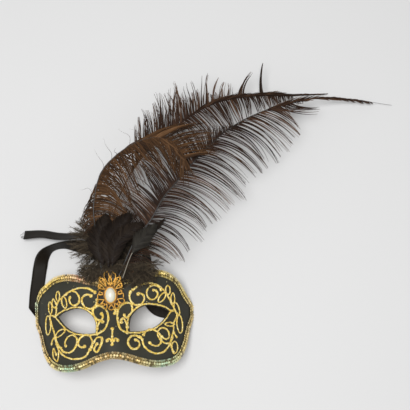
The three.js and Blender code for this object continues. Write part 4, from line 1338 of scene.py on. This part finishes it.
QUILL_HORN = cloudy("quill_horn", {"Roughness": 0.4}, 90.0, (0.010, 0.010, 0.009), (0.022, 0.021, 0.020))
barbs = barb_tree()
barbules = barbule_pair()


def make_plume(name, quill, vanes, seed, material):
    """One plume: its vanes of furred barbs and its quill."""
    made = [vane(quill, plan, seed + i) for i, plan in enumerate(vanes)]
    grown = feathered(name + "_barbs", made, BARBULE_LENGTH, seed, material)
    spine = smooth_line(quill, PLUME_STEPS) + (0, 0, 0.2)
    return with_quill(name, grown, spine, np.linspace(1.0, 0.2, PLUME_STEPS + 1) ** 1.2, QUILL_HORN)


for name, node, slot, quill, vanes, seed, material in (
    ("back_plume", "plume_back", "plume", BACK_QUILL, BACK_VANES, 31, BLACK_BROWN),
    ("front_plume", "plume_front", "plume", FRONT_QUILL, FRONT_VANES, 41, BLACK_BROWN),
    ("curled_plume", "plume_curled", "brown_plume", CURLED_QUILL, CURLED_VANES, 51, WARM_BROWN),
):
    plume = make_plume(name, quill, vanes, seed, material)
    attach(plume, "root")
    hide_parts(node)

# Five hackles, smooth little black feathers 50 to 65 mm long, lie fanned over the plumes' feet and hide one
# another in part. Their barbs lie close together with a soft sheen and part here and there. The fourth is
# greyer and has a bare pale shaft towards its root.
HACKLE_STEPS = 30
BARE_HACKLE = 4
BARE_SHAFT = 0.42
BARB_SLANT = 1.4
# Each one's quill, and half its width
HACKLES = [
    ([(-4, 36, 67.8), (-8, 58, 69.8), (1, 88, 69)], 12),
    ([(1, 34, 70), (5, 62, 72.2), (25, 88, 71.2)], 12),
    ([(5, 35, 72.2), (12, 58, 74.4), (37, 77, 73.4)], 11),
    ([(15, 22, 69.5), (28, 49, 77), (51, 74, 76.4)], 11),
    ([(24, 44, 69.6), (38, 62, 70.6), (60, 80, 69.8)], 6),
]
HACKLE_VANE = dict(
    pitch=0.42, turn=[(0, 34, 58), (1, 40, 66)], clumps=[(7, 16, 0.3, 1.3)], stray=0.4, loft=0.5, fuzz=0.0,
    girth=1.25, least=1.0, hang=[(0, 0.8), (0.5, 2.0), (1, 0.6)])
hackle_black = feather_brown(
    "hackle_black", (0.006, 0.003, 0.002), (0.013, 0.008, 0.005), (0.034, 0.024, 0.016), 0.45)
hackle_grey = feather_brown(
    "hackle_grey", (0.012, 0.010, 0.008), (0.027, 0.024, 0.019), (0.052, 0.047, 0.038), 0.45)
bare_horn = cloudy("bare_horn", {"Roughness": 0.35}, 80.0, (0.20, 0.18, 0.14), (0.30, 0.27, 0.22))


def make_hackle(number, quill, half_width, seed):
    """One hackle: two close vanes that round off towards the tip, and its shaft."""
    bare = number == BARE_HACKLE
    share = np.linspace(0, 1, 13)
    breadth = BARB_SLANT * half_width * np.sin(math.pi * share ** 0.7) ** 0.7
    breadth[-1] = 2.0
    breadth[share <= (BARE_SHAFT if bare else 0.04)] = 0.0
    plan = dict(HACKLE_VANE, reach=np.column_stack([share, breadth]))
    name = f"hackle_feather_{number}"
    vanes = [vane(quill, dict(plan, side=side), seed + side) for side in (-1, 1)]
    grown = feathered(name + "_barbs", vanes, BARBULE_LENGTH, seed, hackle_grey if bare else hackle_black)
    spine = smooth_line(quill, HACKLE_STEPS) + (0, 0, 0.1)
    radii = np.linspace(0.5, 0.16, HACKLE_STEPS + 1)
    return with_quill(name, grown, spine, radii, bare_horn if bare else QUILL_HORN)


for number, (quill, half_width) in enumerate(HACKLES, 1):
    hackle = make_hackle(number, quill, half_width, 60 + 5 * number)
    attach(hackle, "root")
    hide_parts(f"hackle_{number}")

# Loose down fills the feet of the plumes: soft strands 15 to 30 mm long that spring out of a dark cushion
# over the brow, down to the braid and out to both sides.
DOWN_CENTRE = np.array([4, 63, 41.4])
DOWN_RADII = np.array([38, 29, 19])
DOWN_STRANDS = 430
STRAND_POINTS = 7
STRAND_GIRTH = 0.2
STRAND_FUZZ = 1.15
DOWN_FUR = 3.4
# Where the down spreads over the brow: middle, half size, first and last way, longest strand and how many
FRINGES = [
    ((4, 36, 66), (13, 6, 3), (172, 368), 25, 150), ((28, 32, 62), (11, 8, 5), (215, 390), 24, 230),
    ((-12, 32, 63), (7, 6, 4), (150, 320), 17, 170),
]
BROW_EDGE = 33
OVER_BROW = 1.0
down_black = feather_brown(
    "down_black", (0.011, 0.008, 0.005), (0.034, 0.025, 0.016), (0.095, 0.072, 0.046), 0.7)


def down_strands(luck, starts, ways, lengths):
    """Guide lines of soft strands from their starts, each off its own way and bent down."""
    v = np.linspace(0, 1, STRAND_POINTS)
    lines = starts[:, None, :] + ways[:, None, :] * (lengths[:, None] * v)[:, :, None]
    lines[:, :, 2] -= 0.3 * lengths[:, None] * v ** 2
    sway = luck.normal(0, 1, (len(starts), 1, 3)) * (1.6 * v ** 1.5)[:, None]
    lines += sway + 0.6 * luck.normal(0, 1, lines.shape) * v[:, None]
    lines = gather(luck, lines, 2, 6, 0.7, 1.2)
    x, y, z = np.moveaxis(lines, -1, 0)
    out = np.minimum(np.abs(x), FACE_RADIUS * math.sin(TEMPLE_TURN))
    face = np.sqrt((FACE_RADIUS + relief(x, y)) ** 2 - out ** 2) - FACE_RADIUS * math.cos(TEMPLE_TURN)
    lines[:, :, 2] = np.maximum(z, np.where(y < BROW_EDGE, face + OVER_BROW, FLOOR_CLEARANCE))
    light = luck.random((len(starts), 1)) * (0.6 + 0.4 * v)
    girth = np.broadcast_to(STRAND_GIRTH * (1 - 0.6 * v), light.shape)
    return lines, girth, np.full_like(light, STRAND_FUZZ), light


def make_down():
    """The cushion with its strands all round, and the fringes over the brow."""
    luck = np.random.default_rng(71)
    turn = np.sort(luck.uniform(0, 2 * math.pi, DOWN_STRANDS))
    rise = np.arcsin(luck.uniform(-0.25, 0.98, DOWN_STRANDS))
    way = np.column_stack([np.cos(turn) * np.cos(rise), np.sin(turn) * np.cos(rise), np.sin(rise)])
    starts = DOWN_CENTRE + DOWN_RADII * way * luck.uniform(0.55, 0.8, (DOWN_STRANDS, 1))
    tufts = [down_strands(luck, starts, way, luck.uniform(14, 27, DOWN_STRANDS))]
    for middle, half, ways, longest, count in FRINGES:
        turn = np.sort(np.radians(luck.uniform(*ways, count)))
        way = np.column_stack([np.cos(turn), np.sin(turn) * 0.8, luck.uniform(-0.3, 0.25, count)])
        starts = np.array(middle) + luck.uniform(-1, 1, (count, 3)) * half
        tufts.append(down_strands(luck, starts, way, luck.uniform(0.5, 1, count) * longest))
    fluff = feathered("down_lines", tufts, DOWN_FUR, 72, down_black)
    rings = dome(np.linspace(-80, 80, 11), 24)
    lump = 0.8 - 0.06 * np.sin(5 * rings[:, :1] + 3 * rings[:, 1:2]) * np.cos(6 * rings[:, 2:])
    cushion = new_piece("cushion", DOWN_CENTRE + DOWN_RADII * rings * lump, skin_faces(11, 24))
    cushion.data.materials.append(down_black)
    return joined("down", [fluff, paint(cushion, "light", 0.05)])


down = make_down()
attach(down, "root")
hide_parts("down_tuft")

# The ties are black satin ribbon, 15 mm wide, glued inside the temples. The left one comes out under the
# edge, folds over and runs up past the brow. The right one crosses under the eye and the feathers, and its
# cut end, a little frayed, sticks out on the left.
RIBBON_WIDTH = 15.0
RIBBON_THICKNESS = 0.45
RIBBON_CUP = 0.35
RIBBON_POINTS = 7
SELVEDGE = 0.8
# The way of each ribbon's middle (x, y, z), and how far it leans over to one side, in degrees
LEFT_INSIDE = [
    (-71.6, -3.5, 15, 0), (-74.6, -3.5, 7.5, 0), (-75.8, -3.5, 2.2, 0), (-77, -3.5, 0.7, 0),
    (-79.5, -3.5, 0.5, 0),
]
LEFT_OUTSIDE = [
    (-84.5, 4.6, 1.4, 0), (-83.3, 20, 0.6, 0), (-81, 36, 0.6, 0), (-79, 47, 1.9, 9), (-75, 59, 5.4, 38),
    (-66, 67, 7.9, 70), (-54, 70, 7.9, 70), (-40, 69, 6, 45), (-22, 65, 1.6, 6), (-4, 57, 0.6, 0),
    (10, 51, 0.6, 0), (24, 50, 0.6, 0),
]
FOLD_MIDDLE = (-86, -3.5, 0.95)
FOLD_HALF = (-5.6, 7.5, 0)
RIGHT_ROUTE = [
    (71.8, -5, 13, 0), (68.6, -6, 6, 0), (62, -6.5, 1.6, 0), (54, -6.3, 0.6, 0), (45.5, -3, 1.6, -7),
    (39, 5, 1.9, -10), (35, 16, 1.6, -7), (34, 34, 4, 20), (37, 54, 7, 60), (28, 73, 7.4, 66),
    (6, 82, 7.4, 62), (-18, 83, 7.2, 58), (-38, 79.5, 7, 55), (-57, 80, 6.6, 50), (-76, 83.6, 6.3, 48),
    (-95, 83.5, 5.6, 42),
]
THREADS = 16
THREAD_RADIUS = 0.09


def section_rings(middle, half, face):
    """Rings of a ribbon's slightly cupped section, each from its left edge to its right and back under it."""
    shares = np.linspace(-1, 1, RIBBON_POINTS)
    rise = RIBBON_CUP * (shares * shares - 0.5) * 0.5
    top = [middle + half * a + face * (RIBBON_THICKNESS / 2 + b) for a, b in zip(shares, rise)]
    under = [middle + half * a - face * (RIBBON_THICKNESS / 2 - b) for a, b in zip(shares, rise)]
    return np.stack(top + under[::-1], 1)


def ribbon_rings(route, steps):
    """Rings of a ribbon's section along its route."""
    route = np.array(route, float)
    middle = smooth_line(route[:, :3], steps)
    along = heading(middle, False)
    run = run_of(middle)
    knot_run = [run[np.argmin(np.linalg.norm(middle - knot, axis=1))] for knot in route[:, :3]]
    lean = np.radians(height_at(np.column_stack([knot_run, route[:, 3]]), run))[:, None]
    level = unit(np.column_stack([along[:, 1], -along[:, 0], np.zeros(len(along))]))
    across = level * np.cos(lean) - np.array([0, 0, 1]) * np.sin(lean)
    return section_rings(middle, across * RIBBON_WIDTH / 2, np.cross(across, along))


def satin(place):
    weft = painted(place, "weft", "Vector")
    threads = weft.node("ShaderNodeTexWave", {"bands_direction": "Y"}, {
        "Vector": weft, "Scale": 0.42, "Distortion": 0.4})
    cloth = noise(weft, 0.5)
    across = weft.node("ShaderNodeSeparateXYZ", {}, {0: weft})
    selvedge = across.math("ABSOLUTE", across) > RIBBON_WIDTH / 2 - SELVEDGE
    body = blend(cloth, (0.007, 0.004, 0.002), (0.012, 0.009, 0.006))
    return {
        "Base Color": blend(selvedge * 0.6, body, (0.035, 0.034, 0.031)),
        "Roughness": 0.42 + 0.2 * cloth,
        "Normal": bump(threads + 0.5 * cloth, 0.0001),
    }


def make_ribbon(name, rings, extra=()):
    """A ribbon through its rings, with the weave's own measure on it, and its length."""
    ribbon = new_piece(name, rings.reshape(-1, 3), skin_faces(len(rings), 2 * RIBBON_POINTS))
    run = run_of(rings.mean(1))
    across = np.linspace(-RIBBON_WIDTH / 2, RIBBON_WIDTH / 2, RIBBON_POINTS)
    weft = np.zeros((len(rings), 2 * RIBBON_POINTS, 3))
    weft[:, :, 0] = np.concatenate([across, across[::-1]])
    weft[:, :, 1] = run[:, None]
    paint(ribbon, "weft", weft.reshape(-1, 3))
    ribbon.data.materials.append(black_satin)
    return joined(name, [ribbon, *extra]), run[-1]


def fray(end):
    """Loose threads out of the cut end of a ribbon, given the points across its top."""
    luck = np.random.default_rng(81)
    lines = []
    for _ in range(THREADS):
        places = luck.uniform(0, RIBBON_POINTS - 1, 3)
        start = np.array([np.interp(at, np.arange(RIBBON_POINTS), axis) for at, axis in zip(places, end.T)])
        way = np.array([-1, luck.normal(0, 0.35), luck.normal(-0.1, 0.2)]) * luck.uniform(1.2, 4.5)
        lines.append(start + way * np.linspace(-0.2, 1, 5)[:, None] + luck.normal(0, 0.12, (5, 3)))
    made = tubes("fray", lines, [THREAD_RADIUS] * THREADS, 3)
    made.data.materials.append(black_satin)
    return made


black_satin = finish("black_satin", {"Anisotropic": 0.5, "Specular IOR Level": 0.17}, satin)
fold_half = np.array([FOLD_HALF])
fold_inwards = unit(np.array([(FOLD_HALF[1], -FOLD_HALF[0], 0.0)]))
left_rings = np.concatenate([
    ribbon_rings(LEFT_INSIDE, 8),
    section_rings(np.array([FOLD_MIDDLE]), fold_half, fold_inwards),
    np.roll(ribbon_rings(LEFT_OUTSIDE, 60), -RIBBON_POINTS, axis=1),
])
left_tie, left_length = make_ribbon("left_tie", left_rings)
right_rings = ribbon_rings(RIGHT_ROUTE, 90)
right_tie, right_length = make_ribbon("right_tie", right_rings, [fray(right_rings[-1, :RIBBON_POINTS])])
for tie, node, length in ((left_tie, "ribbon_left", left_length), (right_tie, "ribbon_right", right_length)):
    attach(tie, "root")
    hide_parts(node)
    length * 0.001

# The mask lies on a plain pale floor under one broad soft lamp, nearly overhead and a little to the left, in
# an even pale surround.
FLOOR_HALF = 4
FLOOR_DROP = 0.0003
LAMP_PLACE = (-0.2, -0.16, 1.6)
LAMP_SIZE = 0.75
LAMP_POWER = 23
SURROUND = 0.375
floor_mesh = bpy.data.meshes.new("floor")
corners = [(x * FLOOR_HALF, y * FLOOR_HALF, 0) for x, y in ((-1, -1), (1, -1), (1, 1), (-1, 1))]
floor_mesh.from_pydata(corners, [], [(0, 1, 2, 3)])
floor_mesh.materials.append(cloudy("pale_floor", {
    "Roughness": 0.9, "Specular IOR Level": 0.1}, 3.0, (0.665, 0.665, 0.665), (0.68, 0.68, 0.68)))
floor = in_scene("floor", floor_mesh)
floor.location.z = -FLOOR_DROP
lamp_data = bpy.data.lights.new("soft_lamp", "AREA")
lamp_data.shape = "DISK"
lamp_data.size = LAMP_SIZE
lamp_data.energy = LAMP_POWER
lamp = in_scene("soft_lamp", lamp_data)
lamp.location = LAMP_PLACE
lamp.rotation_euler = Vector(LAMP_PLACE).to_track_quat("Z", "Y").to_euler()
surround = bpy.data.worlds.new("surround")
surround.use_nodes = True
background = surround.node_tree.nodes["Background"]
background.inputs["Color"].default_value = (1.0, 1.0, 1.0, 1)
background.inputs["Strength"].default_value = SURROUND
bpy.context.scene.world = surround
bpy.context.scene.view_settings.view_transform = "Standard"
